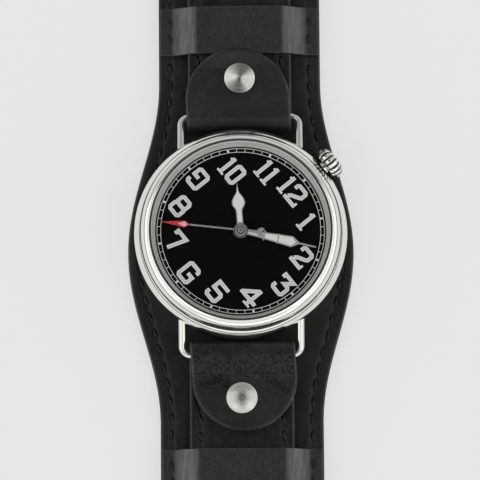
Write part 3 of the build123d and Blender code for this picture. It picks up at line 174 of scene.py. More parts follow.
class Finish(Nodes):
    """A material with one Principled shader."""

    def __init__(self, name, color, roughness, metallic=0.0, specular=0.5):
        self.material = bpy.data.materials.new(name)
        self.material.use_nodes = True
        super().__init__(self.material.node_tree)
        self.shader = self.tree.nodes["Principled BSDF"]
        self.set("Base Color", (*color, 1))
        self.set("Roughness", roughness)
        self.set("Metallic", metallic)
        self.set("Specular IOR Level", specular)

    def set(self, socket, value):
        self.put(self.shader.inputs[socket], value)

    def surface(self, shader):
        """Shows another shader than the Principled one."""
        self.put(self.tree.nodes["Material Output"].inputs["Surface"], shader.outputs["Shader"])

    def bump(self, height, depth, strength=1.0, under=None):
        """Presses a texture into the surface by a depth in metres."""
        node = self.add("Bump", Strength=strength, Distance=depth, Height=height)
        if under:
            self.put(node.inputs["Normal"], under)
        self.set("Normal", node.outputs["Normal"])
        return node.outputs["Normal"]


def grained(name, dark, light, size, split, roughness, bump, metallic=0.0, specular=0.5, detail=3.0,
            stretch=(1, 1, 1)):
    """A finish whose colour, gloss and height all follow one fine grain. Bump is depth and strength."""
    finish = Finish(name, light, roughness[0], metallic, specular)
    grain = finish.noise(size, detail=detail, stretch=stretch)
    finish.set("Base Color", finish.blend(grain, dark, light, *split))
    if roughness[0] != roughness[1]:
        finish.set("Roughness", finish.spread(grain, *roughness))
    if bump:
        finish.bump(grain, *bump)
    return finish.material


def shade(color, share):
    return tuple(c * share for c in color)


# %% [markdown]
# The photo's background is one even light grey with hardly a shadow. The floor is a plain pale
# sheet: part of it glows at that grey for the camera, and the rest is matt and keeps the soft
# shadow. Polished steel is only what it mirrors, so the world above the watch runs from a dark
# patch overhead, where a studio has its camera, through a bright ring to softer walls, and is
# brighter in front than behind.

# %% Make the floor and the sky
background_grey = (0.85, 0.85, 0.85)
floor_half = 1.5
floor_drop = 0.02 * mm
floor_glow = 0.72
sky_blue = 0.985
back_level = 0.6
sky_levels = [(0.0, 0.12), (0.07, 0.1), (0.12, 0.8), (0.34, 1.0), (0.56, 0.95), (0.64, 0.08), (0.7, 0.7),
              (0.86, 0.66), (0.93, 0.09), (1.0, 0.06)]  # height from floor to zenith, brightness


def make_floor():
    mesh = bpy.data.meshes.new("floor")
    corners = [(x * floor_half, y * floor_half, 0) for x, y in ((-1, -1), (1, -1), (1, 1), (-1, 1))]
    mesh.from_pydata(corners, [], [(0, 1, 2, 3)])
    floor = new_object("floor", mesh)
    floor.location.z = -floor_drop
    paper = Finish("floor_paper", background_grey, 0.9)
    glow = paper.add("Emission", (*background_grey, 1), 1.0).outputs["Emission"]
    rays = paper.add("LightPath").outputs
    seen = paper.spread(paper.math("MAXIMUM", rays["Is Camera Ray"], rays["Is Glossy Ray"]), 0.0, floor_glow)
    paper.surface(paper.add("MixShader", seen, paper.shader.outputs["BSDF"], glow))
    mesh.materials.append(paper.material)


def make_sky():
    world = bpy.data.worlds.new("studio")
    bpy.context.scene.world = world
    world.use_nodes = True
    sky = Nodes(world.node_tree)
    spot = sky.parts(sky.add("TexCoord").outputs["Generated"])
    ramp = sky.add("ValToRGB", spot["Z"])
    stops = ramp.color_ramp.elements
    for stop, (_, level) in zip(stops, (sky_levels[0], sky_levels[-1])):
        stop.color = (level, level, level, 1)
    for position, level in sky_levels[1:-1]:
        stops.new(position).color = (level, level, level * sky_blue, 1)
    background = sky.tree.nodes["Background"].inputs
    sky.put(background["Color"], ramp.outputs["Color"])
    sky.put(background["Strength"], sky.spread(spot["Y"], 1.0, back_level, -1.0, 1.0))


make_floor()
make_sky()
print("the sky has", len(sky_levels), "levels from the floor to the zenith")

# %% [markdown]
# Three soft lamps light the leather. They stand left, right and in front, none straight above, so
# the crystal mirrors none of them into the camera and the dial stays black. All stand half way up,
# where the shoulders of the glossy bands mirror the two at the sides, on top of the pale streaks
# painted there as highlights.

# %% Place the lamps
lamp_distance = 1.1
lamp_places = {  # turn and height in degrees, size in metres, power in watts
    "left": (186.0, 44.0, 1.4, 3.0), "right": (-4.0, 44.0, 1.4, 2.8), "front": (-80.0, 46.0, 1.5, 2.0),
}


def on_circle(turn):
    """The direction of an angle in radians, anticlockwise from the X axis."""
    return Vector((cos(turn), sin(turn)))


for side, (turn, height, size, power) in lamp_places.items():
    lamp_data = bpy.data.lights.new(f"lamp_{side}", "AREA")
    lamp_data.size = size
    lamp_data.energy = power
    lamp = new_object(f"lamp_{side}", lamp_data)
    rise = radians(height)
    out = Vector((*(on_circle(radians(turn)) * cos(rise)), sin(rise)))
    lamp.location = out * lamp_distance
    lamp.rotation_euler = (-out).to_track_quat("-Z", "Y").to_euler()
print("lamps", list(lamp_places))

# %% [markdown]
# Real polished steel isn't a perfect mirror: a hand leaves hair-fine swirls on it. Very fine noise
# in the roughness, and a bump two thousandths of a millimetre deep, break the mirror just enough.
# Brushed steel has straight hair lines, and turned steel has fine rings round its axis, which here
# always stands upright. Where light rakes over such rings it can draw a dark bow tie, and the
# angle round the axis gives that shape.

# %% Make the helpers for steel
steel_tint = (0.865, 0.865, 0.82)
glint_turn = radians(40)


def polished_steel(name, color=steel_tint, roughness=0.09):
    finish = Finish(name, color, roughness, metallic=1.0)
    smear = finish.noise(0.6 * mm, detail=6.0, stretch=(1, 1, 3))
    finish.set("Roughness", finish.spread(smear, roughness * 0.6, roughness * 1.7))
    finish.bump(finish.noise(0.05 * mm, detail=2.0, stretch=(1, 8, 8)), 0.002 * mm, 0.25)
    return finish.material


def brushed_steel(name, color, roughness):
    """Steel with straight hair lines across the strap."""
    return grained(name, shade(color, 0.8), color, 0.06 * mm, (0.3, 0.7), (roughness * 0.7, roughness * 1.4),
                   (0.006 * mm, 0.4), metallic=1.0, stretch=(0.02, 1, 1))


def turned_steel(name, center_y=0.0, color=steel_tint, pitch=0.16 * mm, roughness=0.24, metallic=1.0,
                 glint=0.0):
    """Steel with fine rings round an upright axis at a place along the strap."""
    finish = Finish(name, color, roughness, metallic)
    flat = finish.place((1, 1, 0), Location=(0, -center_y, 0))
    rings = finish.add("TexNoise", noise_dimensions="1D", W=finish.reach(flat), Scale=1 / pitch,
                       Detail=3.0).outputs["Fac"]
    finish.set("Roughness", finish.spread(rings, roughness * 0.6, roughness * 1.5, 0.3, 0.7))
    tone = finish.blend(rings, shade(color, 0.72), color, 0.35, 0.65)
    if glint:
        spot = finish.parts(flat)
        angle = finish.math("ARCTAN2", spot["Y"], spot["X"])
        wave = finish.math("COSINE", finish.math("MULTIPLY_ADD", angle, 2.0, glint_turn))
        tone = finish.mix(finish.spread(wave, glint, 0.0, -0.9, 0.6), tone, (0.12, 0.12, 0.115))
    finish.set("Base Color", tone)
    finish.bump(rings, 0.01 * mm, 0.5)
    return finish.material


# %% [markdown]
# The case, the bezel and the lug wires are polished, the wires most of all. The studs and the case
# back are turned, and the upper stud shows the bow tie. The sloped ring inside the crystal is
# turned too, but silvered and matt, so it does without a metal's mirror. The buckle is brushed.

# %% Make the steels
grey_tint = (0.5, 0.5, 0.51)
top_stud_y = 30.5 * mm
bottom_stud_y = -31.5 * mm
case_steel = polished_steel("polished_case_steel")
bezel_steel = polished_steel("polished_bezel_steel", roughness=0.07)
wire_steel = polished_steel("polished_wire_steel", (0.78, 0.78, 0.74), 0.05)
ring_steel = turned_steel("satin_ring_steel", color=(0.94, 0.94, 0.9), roughness=0.4, metallic=0.0)
back_steel = turned_steel("turned_back_steel", color=grey_tint, pitch=0.2 * mm)
buckle_steel = brushed_steel("brushed_buckle_steel", grey_tint, 0.22)
top_stud_steel = turned_steel("turned_top_stud_steel", top_stud_y, pitch=0.28 * mm, roughness=0.22,
                              glint=0.75)
bottom_stud_steel = turned_steel("satin_bottom_stud_steel", bottom_stud_y, (0.74, 0.74, 0.7), 0.12 * mm, 0.26)
print("steels made")

# %% [markdown]
# The crown has eighteen rounded ribs, and the narrow grooves between them are painted dark as shade.
# The angle round the crown's own axis, times eighteen, gives a wave that is high on the ribs and low in
# the grooves, and it darkens and dulls the steel there.

# %% Make the ribbed crown's steel
crown_turn = radians(38.5)
crown_axis_height = 6.9 * mm
crown_rib_count = 18


def ribbed_crown_steel():
    finish = Finish("ribbed_crown_steel", steel_tint, 0.1, metallic=1.0)
    spot = finish.parts(finish.place(Rotation=(0, 0, -crown_turn), Location=(0, 0, -crown_axis_height)))
    angle = finish.math("ARCTAN2", spot["Y"], spot["Z"])
    wave = finish.math("COSINE", finish.math("MULTIPLY", angle, crown_rib_count))
    rib = finish.spread(wave, 0.0, 1.0, -0.75, 0.1)
    # The dark colour in the grooves is painted shade.
    finish.set("Base Color", finish.blend(rib, (0.03, 0.03, 0.028), steel_tint))
    finish.set("Roughness", finish.spread(rib, 0.45, 0.1))
    finish.bump(finish.noise(0.05 * mm), 0.002 * mm, 0.25)
    return finish.material


# %% [markdown]
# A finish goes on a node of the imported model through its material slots. The node's mesh and place
# stay untouched. The list at the end of the file makes sure that no node was forgotten.

# %% Dress the steel nodes
dressed = set()


def dress(material, *node_names):
    for node_name in node_names:
        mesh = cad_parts[node_name].data
        mesh.materials.clear()
        mesh.materials.append(material)
        for face in mesh.polygons:
            face.material_index = 0
        dressed.add(node_name)


dress(case_steel, "case_middle", "crown_tube")
dress(ribbed_crown_steel(), "crown")
dress(bezel_steel, "bezel")
dress(wire_steel, "lug_wire_top", "lug_wire_bottom", "stud_base_top", "stud_base_bottom")
dress(ring_steel, "inner_ring")
dress(back_steel, "case_back")
dress(buckle_steel, "buckle_frame", "buckle_tongue", "buckle_bar")
dress(top_stud_steel, "stud_top")
dress(bottom_stud_steel, "stud_bottom")
print("dressed", len(dressed), "nodes in steel")

# %% [markdown]
# Inside the case sit parts that hardly show until the watch is taken apart: the movement's plates
# and wheels, and the gaskets. Each still gets the finish of the real one. Plates and bridges are
# nickel with soft stripes, most wheels are gilt brass, pinions and winding wheels are grey steel,
# the hairspring is blued, and the gaskets are black rubber.

# %% Dress the movement and the gaskets
rubber_black = (0.012, 0.012, 0.012)


def striped_nickel():
    """Nickel plate with the broad soft stripes that a grinding wheel leaves on bridges."""
    finish = Finish("striped_nickel", (0.52, 0.5, 0.46), 0.28, metallic=1.0)
    stripes = finish.add("TexWave", finish.place(), Scale=90.0, Distortion=0.4, Detail=1.0).outputs["Fac"]
    finish.set("Roughness", finish.spread(stripes, 0.2, 0.4))
    finish.set("Base Color", finish.blend(stripes, (0.42, 0.4, 0.37), (0.6, 0.58, 0.54)))
    finish.bump(finish.noise(0.1 * mm, stretch=(1, 0.1, 1)), 0.003 * mm, 0.3)
    return finish.material


gilt_brass = grained("gilt_brass", (0.62, 0.42, 0.15), (0.82, 0.6, 0.26), 0.08 * mm, (0.35, 0.65),
                     (0.18, 0.36), None, metallic=1.0)
seal_rubber = grained("seal_rubber", rubber_black, shade(rubber_black, 1.8), 0.25 * mm, (0.4, 0.7),
                      (0.45, 0.7), (0.01 * mm, 0.3), detail=4.0)
grey_steel = brushed_steel("grey_steel", (0.4, 0.4, 0.42), 0.25)
dress(seal_rubber, "crystal_gasket", "case_back_gasket", "crown_gasket")
dress(striped_nickel(), "main_plate", "barrel_bridge", "train_bridge", "balance_cock")
dress(gilt_brass, "barrel", "center_wheel", "third_wheel", "fourth_wheel", "minute_wheel", "hour_wheel",
      "balance_wheel")
dress(grey_steel, "cannon_pinion", "escape_wheel", "pallet_fork", "crown_wheel", "ratchet_wheel",
      "sliding_pinion", "winding_pinion", "winding_stem", "movement_holder")
dress(brushed_steel("blued_hairspring_steel", (0.03, 0.06, 0.3), 0.2), "hairspring")
print("dressed", len(dressed), "nodes")

# %% [markdown]
# The crystal is clear glass. A real one has a coating, so little shows on it but a soft sheen at
# the rim. Light that passes a thick glass solid in a path tracer loses its direct shadow light, so
# the surface is mostly clear, with a mirror only where Fresnel asks for one.

# %% Dress the crystal
coated_index = 1.12


def clear_crystal():
    finish = Finish("clear_crystal", (1, 1, 1), 0.02)
    finish.set("Transmission Weight", 1.0)
    clear = finish.add("BsdfTransparent").outputs["BSDF"]
    mirror = finish.add("BsdfGlossy", Roughness=0.02).outputs["BSDF"]
    edge = finish.add("Fresnel", IOR=coated_index).outputs["Fac"]
    glass = finish.add("MixShader", edge, clear, mirror).outputs["Shader"]
    shadow = finish.add("LightPath").outputs["Is Shadow Ray"]
    finish.surface(finish.add("MixShader", shadow, glass, clear))
    return finish.material


dress(clear_crystal(), "crystal")
print("crystal is clear")

# %% [markdown]
# The leather is smooth, black and a little waxed. Close up it has fine pebbles, wider soft waves
# where it was stretched, and it is greyer and duller where hands rub it. The pebbles are cells of a
# Voronoi texture, and the rest is noise at several sizes. One function makes all of the leathers,
# and its few numbers tell them apart.

# %% Make the leather helper


def leather(name, color=(0.0048, 0.0048, 0.0045), worn=(0.012, 0.012, 0.0114), roughness=0.42,
            pebble=0.42 * mm, depth=0.05 * mm, creases=0.0, crease_stretch=(0.7, 1.5, 1), shine=0.3,
            coat=0.0, patch=None, painted_sheen=None):
    """Black leather: pebbled grain, soft waves, worn patches, creases where it bends, and painted highlight
    streaks on the bands.
    """
    finish = Finish(name, color, roughness, specular=shine)
    finish.set("Coat Weight", coat)
    finish.set("Coat Roughness", 0.2)
    mottle = finish.math("MULTIPLY", finish.noise(9 * mm, detail=5.0, roughness=0.65),
                         finish.noise(0.9 * mm, detail=6.0, roughness=0.7))
    tone = finish.blend(mottle, color, worn, 0.22, 0.42)
    finish.set("Roughness", finish.spread(mottle, roughness * 0.8, roughness * 1.35, 0.15, 0.4))
    cells = finish.add("TexVoronoi", finish.place(), feature="DISTANCE_TO_EDGE", Scale=1 / pebble)
    grain = finish.bump(finish.spread(cells.outputs["Distance"], 0.0, 1.0, 0.0, 0.25), depth, 0.35)
    waves = finish.bump(finish.noise(3.2 * mm, detail=3.0), 0.16 * mm, 0.3, grain)
    spot = finish.parts(finish.place())
    if creases:
        folds = finish.noise(1.6 * mm, detail=5.0, stretch=crease_stretch, roughness=0.6)
        waves = finish.bump(folds, 0.35 * mm, creases, waves)
    if patch:
        # Near the fold the grain has cracked: small pits in clusters, fewer further from the fold.
        clusters = finish.spread(finish.noise(3.4 * mm, detail=3.0), 0.0, 1.0, 0.36, 0.64)
        near = finish.math("ADD", finish.spread(spot["Y"], -0.55, 0.2, *patch), clusters)
        pits = finish.spread(finish.noise(0.5 * mm, detail=3.0, roughness=0.75), 1.0, 0.0, 0.4, 0.47)
        pits = finish.math("MULTIPLY", pits, finish.spread(near, 0.0, 1.0, 0.42, 0.6))
        finish.bump(finish.spread(pits, 1.0, 0.0), 0.4 * mm, 1.0, waves)
        # The pits are also painted near black, as the shade inside the cracks.
        tone = finish.mix(pits, tone, (0.0012, 0.0012, 0.0012))
    if painted_sheen:
        # Where a band bends up over the strap, pale streaks are painted in as its highlight.
        start, end = painted_sheen
        across = finish.math("ABSOLUTE", spot["X"])
        rise = finish.spread(across, 0.0, 1.0, start - 0.7 * mm, start + 0.5 * mm)
        fall = finish.spread(across, 1.0, 0.0, end - 1.6 * mm, end + 0.3 * mm)
        sheen_noise = finish.noise(0.7 * mm, detail=5.0, stretch=(1.3, 0.16, 1))
        streaks = finish.spread(sheen_noise, 0.35, 1.0, 0.35, 0.65)
        pale = finish.math("MULTIPLY", finish.math("MULTIPLY", rise, fall), streaks)
        tone = finish.mix(pale, tone, (0.105, 0.105, 0.1))
    finish.set("Base Color", tone)
    return finish.material


# %% [markdown]
# The pad is the plainest leather, and the bands are the glossiest, with creases across them. The
# tabs bend sharply, so they are paler and creased, and the lower one has cracked near its fold. Cut
# edges were bevelled and burnished, and their paler colour is painted as the highlight along them.
# The thread is waxed.

# %% Make the leathers and the thread


def waxed_thread():
    """Black twisted thread: fine slanted ridges along each stitch."""
    finish = Finish("waxed_thread", (0.002, 0.002, 0.0021), 0.26, specular=0.32)
    twist = finish.add("TexWave", finish.place(), Scale=1 / (1.6 * mm), Distortion=1.5, Detail=2.0,
                       bands_direction="DIAGONAL").outputs["Fac"]
    finish.set("Base Color", finish.blend(twist, (0.002, 0.002, 0.0021), (0.006, 0.006, 0.0062)))
    finish.bump(twist, 0.04 * mm, 0.6)
    return finish.material


pad_leather = leather("pad_leather", (0.0068, 0.0068, 0.0064), (0.0155, 0.0155, 0.0148))
strap_leather = leather("strap_leather", roughness=0.36, pebble=0.36 * mm)
tab_leather = leather("tab_leather", (0.013, 0.013, 0.0122), (0.026, 0.026, 0.025), 0.36, 0.36 * mm,
                      creases=0.2)
creased_tab_leather = leather("creased_tab_leather", (0.0115, 0.0115, 0.011), (0.02, 0.02, 0.019), 0.34,
                              0.36 * mm, creases=0.3, patch=(bottom_stud_y, bottom_stud_y + 5 * mm))
# The pale streaks on the bands' bends are painted highlights.
band_leather = leather("band_leather", (0.007, 0.007, 0.0067), roughness=0.24, pebble=0.5 * mm, creases=0.75,
                       crease_stretch=(2.6, 0.2, 1), shine=0.5, coat=0.5, painted_sheen=(8.7 * mm, 13.0 * mm))
lining_leather = leather("lining_leather", (0.02, 0.019, 0.018), (0.045, 0.043, 0.04), 0.6, 0.3 * mm)
# The edge leather is burnished, and its paler colour is a painted highlight along the bevels.
edge_highlight_leather = leather("burnished_edge_highlight_leather", (0.03, 0.03, 0.031), (0.085, 0.085, 0.088), 0.34, 0.3 * mm,
                       0.02 * mm)
thread = waxed_thread()
print("leathers and thread made")

# %% [markdown]
# Every piece that is made here is a mesh: points, faces, and the material of each face. Nearly all
# of them are rings of points, one after the other, with four-sided faces between. The class below
# gathers such rings and turns them into an object, which gets its body, and it hides the model's
# node that the piece stands for.

# %% Make the helper that builds a piece


def circle(radius, steps):
    """Points round the origin, at even angles."""
    return [on_circle(2 * pi * k / steps) * radius for k in range(steps)]


class Shell:
    """The points and faces of one piece, and which of its materials each face has."""

    def __init__(self):
        self.points, self.faces, self.tones = [], [], []

    def join(self, rings, tone=lambda r, k: 0, looped=False, ends=0, end_tone=0):
        """Adds rings of points and the faces between them. Tone gives the material of face k after ring r.

        Looped joins the last ring to the first, and ends says how many of the two ends are closed.
        """
        first, rows, count = len(self.points), len(rings), len(rings[0])
        last = first + (rows - 1) * count
        self.points += [point for ring in rings for point in ring]
        for r in range(rows if looped else rows - 1):
            here, there = first + r * count, first + (r + 1) % rows * count
            for k in range(count):
                j = (k + 1) % count
                self.faces.append((here + k, here + j, there + j, there + k))
                self.tones.append(int(tone(r, k)))
        self.faces += [tuple(range(first, first + count))[::-1], tuple(range(last, last + count))][:ends]
        self.tones += [end_tone] * ends
        return self

    def mesh(self, name, materials, smooth):
        mesh = bpy.data.meshes.new(name)
        mesh.from_pydata([tuple(point) for point in self.points], [], self.faces)
        for material in materials:
            mesh.materials.append(material)
        for face, tone in zip(mesh.polygons, self.tones):
            face.material_index = tone
            face.use_smooth = smooth
        return mesh

    def piece(self, name, materials, body, slot, stands_for=None, smooth=True):
        mesh = self.mesh(name, materials, smooth)
        outward = bmesh.new()
        outward.from_mesh(mesh)
        bmesh.ops.recalc_face_normals(outward, faces=outward.faces)
        outward.to_mesh(mesh)
        outward.free()
        piece = new_object(name, mesh)
        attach(piece, body)
        if stands_for:
            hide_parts(stands_for)
        print(name, "has", len(mesh.polygons), "faces")
        return piece


# %% [markdown]
# The pad is two layers of leather sewn together along a line two millimetres inside its edge. The
# same outline runs round both: straight ends with round corners, and a bulge behind the case. The
# mesh is a stack of such outlines, each a little inside or outside the last, so the rounded edge
# and the sunk stitch line are just more outlines in the stack.

# %% Trace the pad's outline
pad_low, pad_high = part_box("pad_top")
pad_middle_y = (pad_low.y + pad_high.y) / 2
pad_half_length = (pad_high.y - pad_low.y) / 2
pad_waist_half = (pad_high.x - pad_low.x) / 2
pad_end_half = 15.6 * mm
pad_bulge_reach = 33.0 * mm
pad_corner = 8.0 * mm


def pad_half_width(reach):
    """Half the pad's width at a distance along the strap from the pad's middle."""
    if abs(reach) >= pad_bulge_reach:
        return pad_end_half
    swell = (1 + cos(pi * reach / pad_bulge_reach)) / 2
    return pad_end_half + (pad_waist_half - pad_end_half) * swell


def pad_outline(side_steps=90, corner_steps=14, end_steps=12):
    """The outline, from a quarter that runs from the side's middle round to the end's middle."""
    straight = pad_half_length - pad_corner
    flat = pad_end_half - pad_corner
    quarter = [Vector((pad_half_width(straight * i / side_steps), straight * i / side_steps))
               for i in range(side_steps + 1)]
    for i in range(1, corner_steps + 1):
        quarter.append(Vector((flat, straight)) + on_circle(pi / 2 * i / corner_steps) * pad_corner)
    quarter += [Vector((flat * (1 - i / end_steps), pad_half_length)) for i in range(1, end_steps + 1)]
    right = [(p.x, -p.y) for p in reversed(quarter)][:-1] + [(p.x, p.y) for p in quarter]
    left = [(-x, -y) for x, y in right[1:-1]]
    return [Vector((x, y + pad_middle_y)) for x, y in right + left]


pad_line = pad_outline()
pad_out = []
for before, after in zip(pad_line[-1:] + pad_line[:-1], pad_line[1:] + pad_line[:1]):
    along = (after - before).normalized()
    pad_out.append(Vector((along.y, -along.x)))
print("pad outline has", len(pad_line), "points")

# %% [markdown]
# A small rise and fall keeps the pad's big face from looking machined. It comes from a few sine
# waves, so it is the same on every run.

# %% Stack the outlines into the pad
stitch_inset = 2.15 * mm
stitch_sink = 0.26 * mm
wave_size = 11 * mm
wave_depth = 0.07 * mm
wave_limit = 0.02 * mm
smooth_margin = 0.5  # mm that stay level along the edge


def gentle_wave(x, y):
    first = sin(x / wave_size * 2.1 + 0.7) * cos(y / wave_size * 1.3 + 1.9)
    second = sin((x + y) / wave_size * 3.1 + 2.3) * 0.5
    return min(wave_limit, wave_depth * (first + second))


def inset_outline(inset, share=0.0):
    """The pad's outline moved inward, then drawn towards the middle line by a share."""
    ring = [p - n * inset for p, n in zip(pad_line, pad_out)]
    along = 1 - share * 0.12
    return [Vector((p.x * (1 - share), pad_middle_y + (p.y - pad_middle_y) * along)) for p in ring]


def stack_outlines(name, rows, leathers, ends, node_name):
    """A flat leather from rows of (inset in mm, height, share towards the middle line, 1 for an edge)."""
    rings = []
    for inset, height, share, _ in rows:
        wavy = inset > smooth_margin
        rings.append([(p.x, p.y, height + (gentle_wave(p.x, p.y) if wavy else 0))
                      for p in inset_outline(inset * mm, share)])
    shell = Shell().join(rings, lambda r, k: rows[r + 1][3], ends=ends)
    shell.piece(name, leathers, "pad", "pad_leather", node_name)


def make_pad():
    low, top = pad_low.z, pad_high.z
    ledge = top - 0.02 * mm
    stack_outlines("pad_top_leather", [
        (0.10, low, 0, 1), (0.0, low + 0.15 * mm, 0, 1), (0.0, top - 0.55 * mm, 0, 1),
        (0.10, top - 0.26 * mm, 0, 1), (0.32, top - 0.07 * mm, 0, 1), (0.58, top, 0, 0),
        (1.2, top + 0.02 * mm, 0, 0), (1.62, ledge, 0, 0), (1.9, top - stitch_sink, 0, 0),
        (2.4, top - stitch_sink, 0, 0), (2.68, ledge, 0, 0), (3.3, top + 0.03 * mm, 0, 0),
        (4.6, top, 0, 0), (4.6, ledge, 0.3, 0), (4.6, ledge, 0.65, 0), (4.6, ledge, 1.0, 0),
    ], [pad_leather, edge_highlight_leather], 1, "pad_top")
    low, top = (corner.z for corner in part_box("pad_lining"))
    stack_outlines("pad_lining_leather", [
        (0.25, low, 0, 1), (0.0, low + 0.22 * mm, 0, 1), (0.0, top - 0.18 * mm, 0, 1), (0.12, top, 0, 1),
    ], [lining_leather, edge_highlight_leather], 2, "pad_lining")


make_pad()

# %% [markdown]
# A stitch is a short length of thick thread that dips into its hole at both ends. Seen from above
# it is a slim capsule. One capsule is measured out, then copied along a line with a set pitch, a
# small slant, and a little chance in length and angle, as hand sewing has.

# %% Make the stitching helper
stitch_pitch = 3.3 * mm
stitch_length = 2.6 * mm
stitch_radius = 0.38 * mm
stitch_slant = 8.0
stitch_bluntness = 3.2
stitch_dip = 1.3
stitch_flatness = 0.8
upward = Vector((0, 0, 1))


def stitch_rings(center, along, length, radius, sides=8, rings=7):
    """One stitch that dips at both ends, as rings of points."""
    side = upward.cross(along).normalized()
    result = []
    for ring in range(rings):
        t = ring / (rings - 1) * 2 - 1
        width = radius * sqrt(max(0.0, 1 - abs(t) ** stitch_bluntness))
        middle = center + along * (t * length / 2) - upward * (radius * stitch_dip * t * t)
        result.append([middle + side * p.x + upward * (p.y * stitch_flatness) for p in circle(width, sides)])
    return result


def walk(path):
    """Points and directions at the stitches' even pitch along a chain of points."""
    result, travelled, wanted = [], 0.0, stitch_pitch / 2
    for a, b in zip(path, path[1:]):
        span = (b - a).length
        while span > 0 and travelled + span >= wanted:
            result.append((a.lerp(b, (wanted - travelled) / span), (b - a).normalized()))
            wanted += stitch_pitch
        travelled += span
    return result


def sew(name, paths, body, slot, seed):
    """One piece with a row of stitches along each path."""
    chance = random.Random(seed)
    shell = Shell()
    for path in paths:
        for place, along in walk(path):
            turn = Matrix.Rotation(radians(stitch_slant + chance.uniform(-6, 6)), 3, upward)
            length = stitch_length * chance.uniform(0.88, 1.1)
            place = place + upward.cross(along) * chance.uniform(-0.1 * mm, 0.1 * mm)
            shell.join(stitch_rings(place, turn @ along, length, stitch_radius * chance.uniform(0.9, 1.08)))
    shell.piece(name, [thread], body, slot)


# %% [markdown]
# The pad's stitches run all round in the sunk line. Where the feet of the two bands lie on the pad
# they are left out, because there the stitches go through the band and lie on top of it.

# %% Sew the pad
band_boxes = {"top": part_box("pad_band_top"), "bottom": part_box("pad_band_bottom")}
pad_stitch_z = pad_high.z - stitch_sink * 0.8 + stitch_radius * 0.35


def under_band(point):
    """Whether a place on the pad is covered by the foot of a band."""
    near = 0.5 * mm
    return any(low.y - near < point.y < high.y + near for low, high in band_boxes.values())


def bare_stretches(path):
    """The stretches of a path on the pad that no band covers."""
    stretches = [[]]
    for point in path:
        if not under_band(point):
            stretches[-1].append(point)
        elif stretches[-1]:
            stretches.append([])
    return [stretch for stretch in stretches if len(stretch) > 1]


pad_stitch_path = [Vector((p.x, p.y, pad_stitch_z)) for p in inset_outline(stitch_inset)]
pad_stitch_path.append(pad_stitch_path[0])
sew("pad_stitches", bare_stretches(pad_stitch_path), "pad", "pad_leather", 11)

# %% [markdown]
# The pad's two bands are strips of glossy leather sewn across it, and the strap runs under them.
# Each rises over the strap in a soft bend, and lies flat on the pad at both sides. A smooth step
# between two places gives that bend. The underside follows the top a leather's thickness lower,
# but stays clear of the strap, and hangs lower only over the strap's bevelled edge.

# %% Give the bands their section
strap_thickness = 2.0 * mm
strap_floor = 2.25 * mm
strap_top = strap_floor + strap_thickness
strap_edge_drop = 0.36 * mm
band_thickness = 0.7 * mm
band_flat_half = 7.9 * mm
band_foot_half = 13.3 * mm
band_crown = 0.1 * mm
band_clearance = 0.03 * mm
band_clear_half = 10.12 * mm
band_clear_bend = 0.5 * mm


def smoothstep(value, start, end):
    """Goes softly from 0 to 1 as a value goes from start to end, whichever of the two is larger."""
    t = min(1.0, max(0.0, (value - start) / (end - start)))
    return t * t * (3 - 2 * t)


def band_under(x, top):
    """Height of the band's underside: a leather's thickness down, but never into the strap."""
    if abs(x) >= band_clear_half:
        return top - band_thickness
    inside = smoothstep(abs(x), band_clear_half, band_clear_half - band_clear_bend)
    return max(top - band_thickness, strap_top + band_clearance - strap_edge_drop * (1 - inside))


print("the strap's top lies", round((strap_top - pad_high.z) / mm, 2), "mm above the pad")

# %% [markdown]
# A band is a row of such sections along the strap. The first and last few sink a little, which
# rounds the long edges, and the feet end just inside the pad's bulging outline. A few shallow
# creases cross each band in the strap's direction, at places that a seeded chance picks.

# %% Make the bands
band_margin = 0.06 * mm
band_edge = 0.4 * mm
band_edge_drop = 0.25 * mm
band_steps = 120
band_rows = 9
band_rounding = [(0.0, 0.22 * mm), (0.03 * mm, 0.06 * mm), (0.12 * mm, 0.0), (0.32 * mm, 0.0)]
crease_count = 14


def make_band(end, seed):
    low, high = band_boxes[end]
    chance = random.Random(seed)
    crest = high.z - band_thickness + band_crown
    length = high.y - low.y
    back = [(length - y, sink) for y, sink in reversed(band_rounding)]
    rows = band_rounding + [(length * i / band_rows, 0.0) for i in range(1, band_rows)] + back
    creases = [(chance.uniform(-9, 9) * mm, chance.uniform(0.25, 0.6) * mm, chance.uniform(0.02, 0.07) * mm)
               for _ in range(crease_count)]
    rings = []
    for y, sink in rows:
        half = pad_half_width(low.y + y - pad_middle_y) - band_margin
        above, below = [], []
        for i in range(band_steps + 1):
            x = half * (i / band_steps * 2 - 1)
            climb = smoothstep(abs(x), band_flat_half, band_foot_half)
            z = crest * (1 - climb) + low.z * climb + band_thickness
            crease = sum(d * exp(-((x - c) / w) ** 2) for c, w, d in creases) * sin(pi * y / length)
            edge = min(1.0, (half - abs(x)) / band_edge)
            above.append((x, low.y + y, z - sink * 0.8 - crease * 0.6 - (1 - edge) ** 2 * band_edge_drop))
            below.append((x, low.y + y, band_under(x, z) + sink * 0.3))
        rings.append(above + below[::-1])
    around = len(rings[0])

    def tone(r, k):
        """Edge leather on the walls at both feet, and on top where the long edges are rounded."""
        long_edge = k < band_steps and not 2 <= r <= len(rows) - 4
        return long_edge or k in (0, band_steps - 1, band_steps, around - 1)

    shell = Shell().join(rings, tone)
    for first in (0, (len(rows) - 1) * around):
        last = first + around - 1
        shell.faces += [(first + i, first + i + 1, last - i - 1, last - i) for i in range(band_steps)]
        shell.tones += [1] * band_steps
    shell.piece(f"band_{end}_leather", [band_leather, edge_highlight_leather], "pad", "pad_leather", f"pad_band_{end}")


make_band("top", 21)
make_band("bottom", 22)

# %% [markdown]
# Short rows of stitches hold the feet of the bands. They follow the pad's own stitch line, but lie
# on top of the bands, and stop short of the bands' long edges.

# %% Sew the bands down
foot_stitch_margin = 1.2 * mm


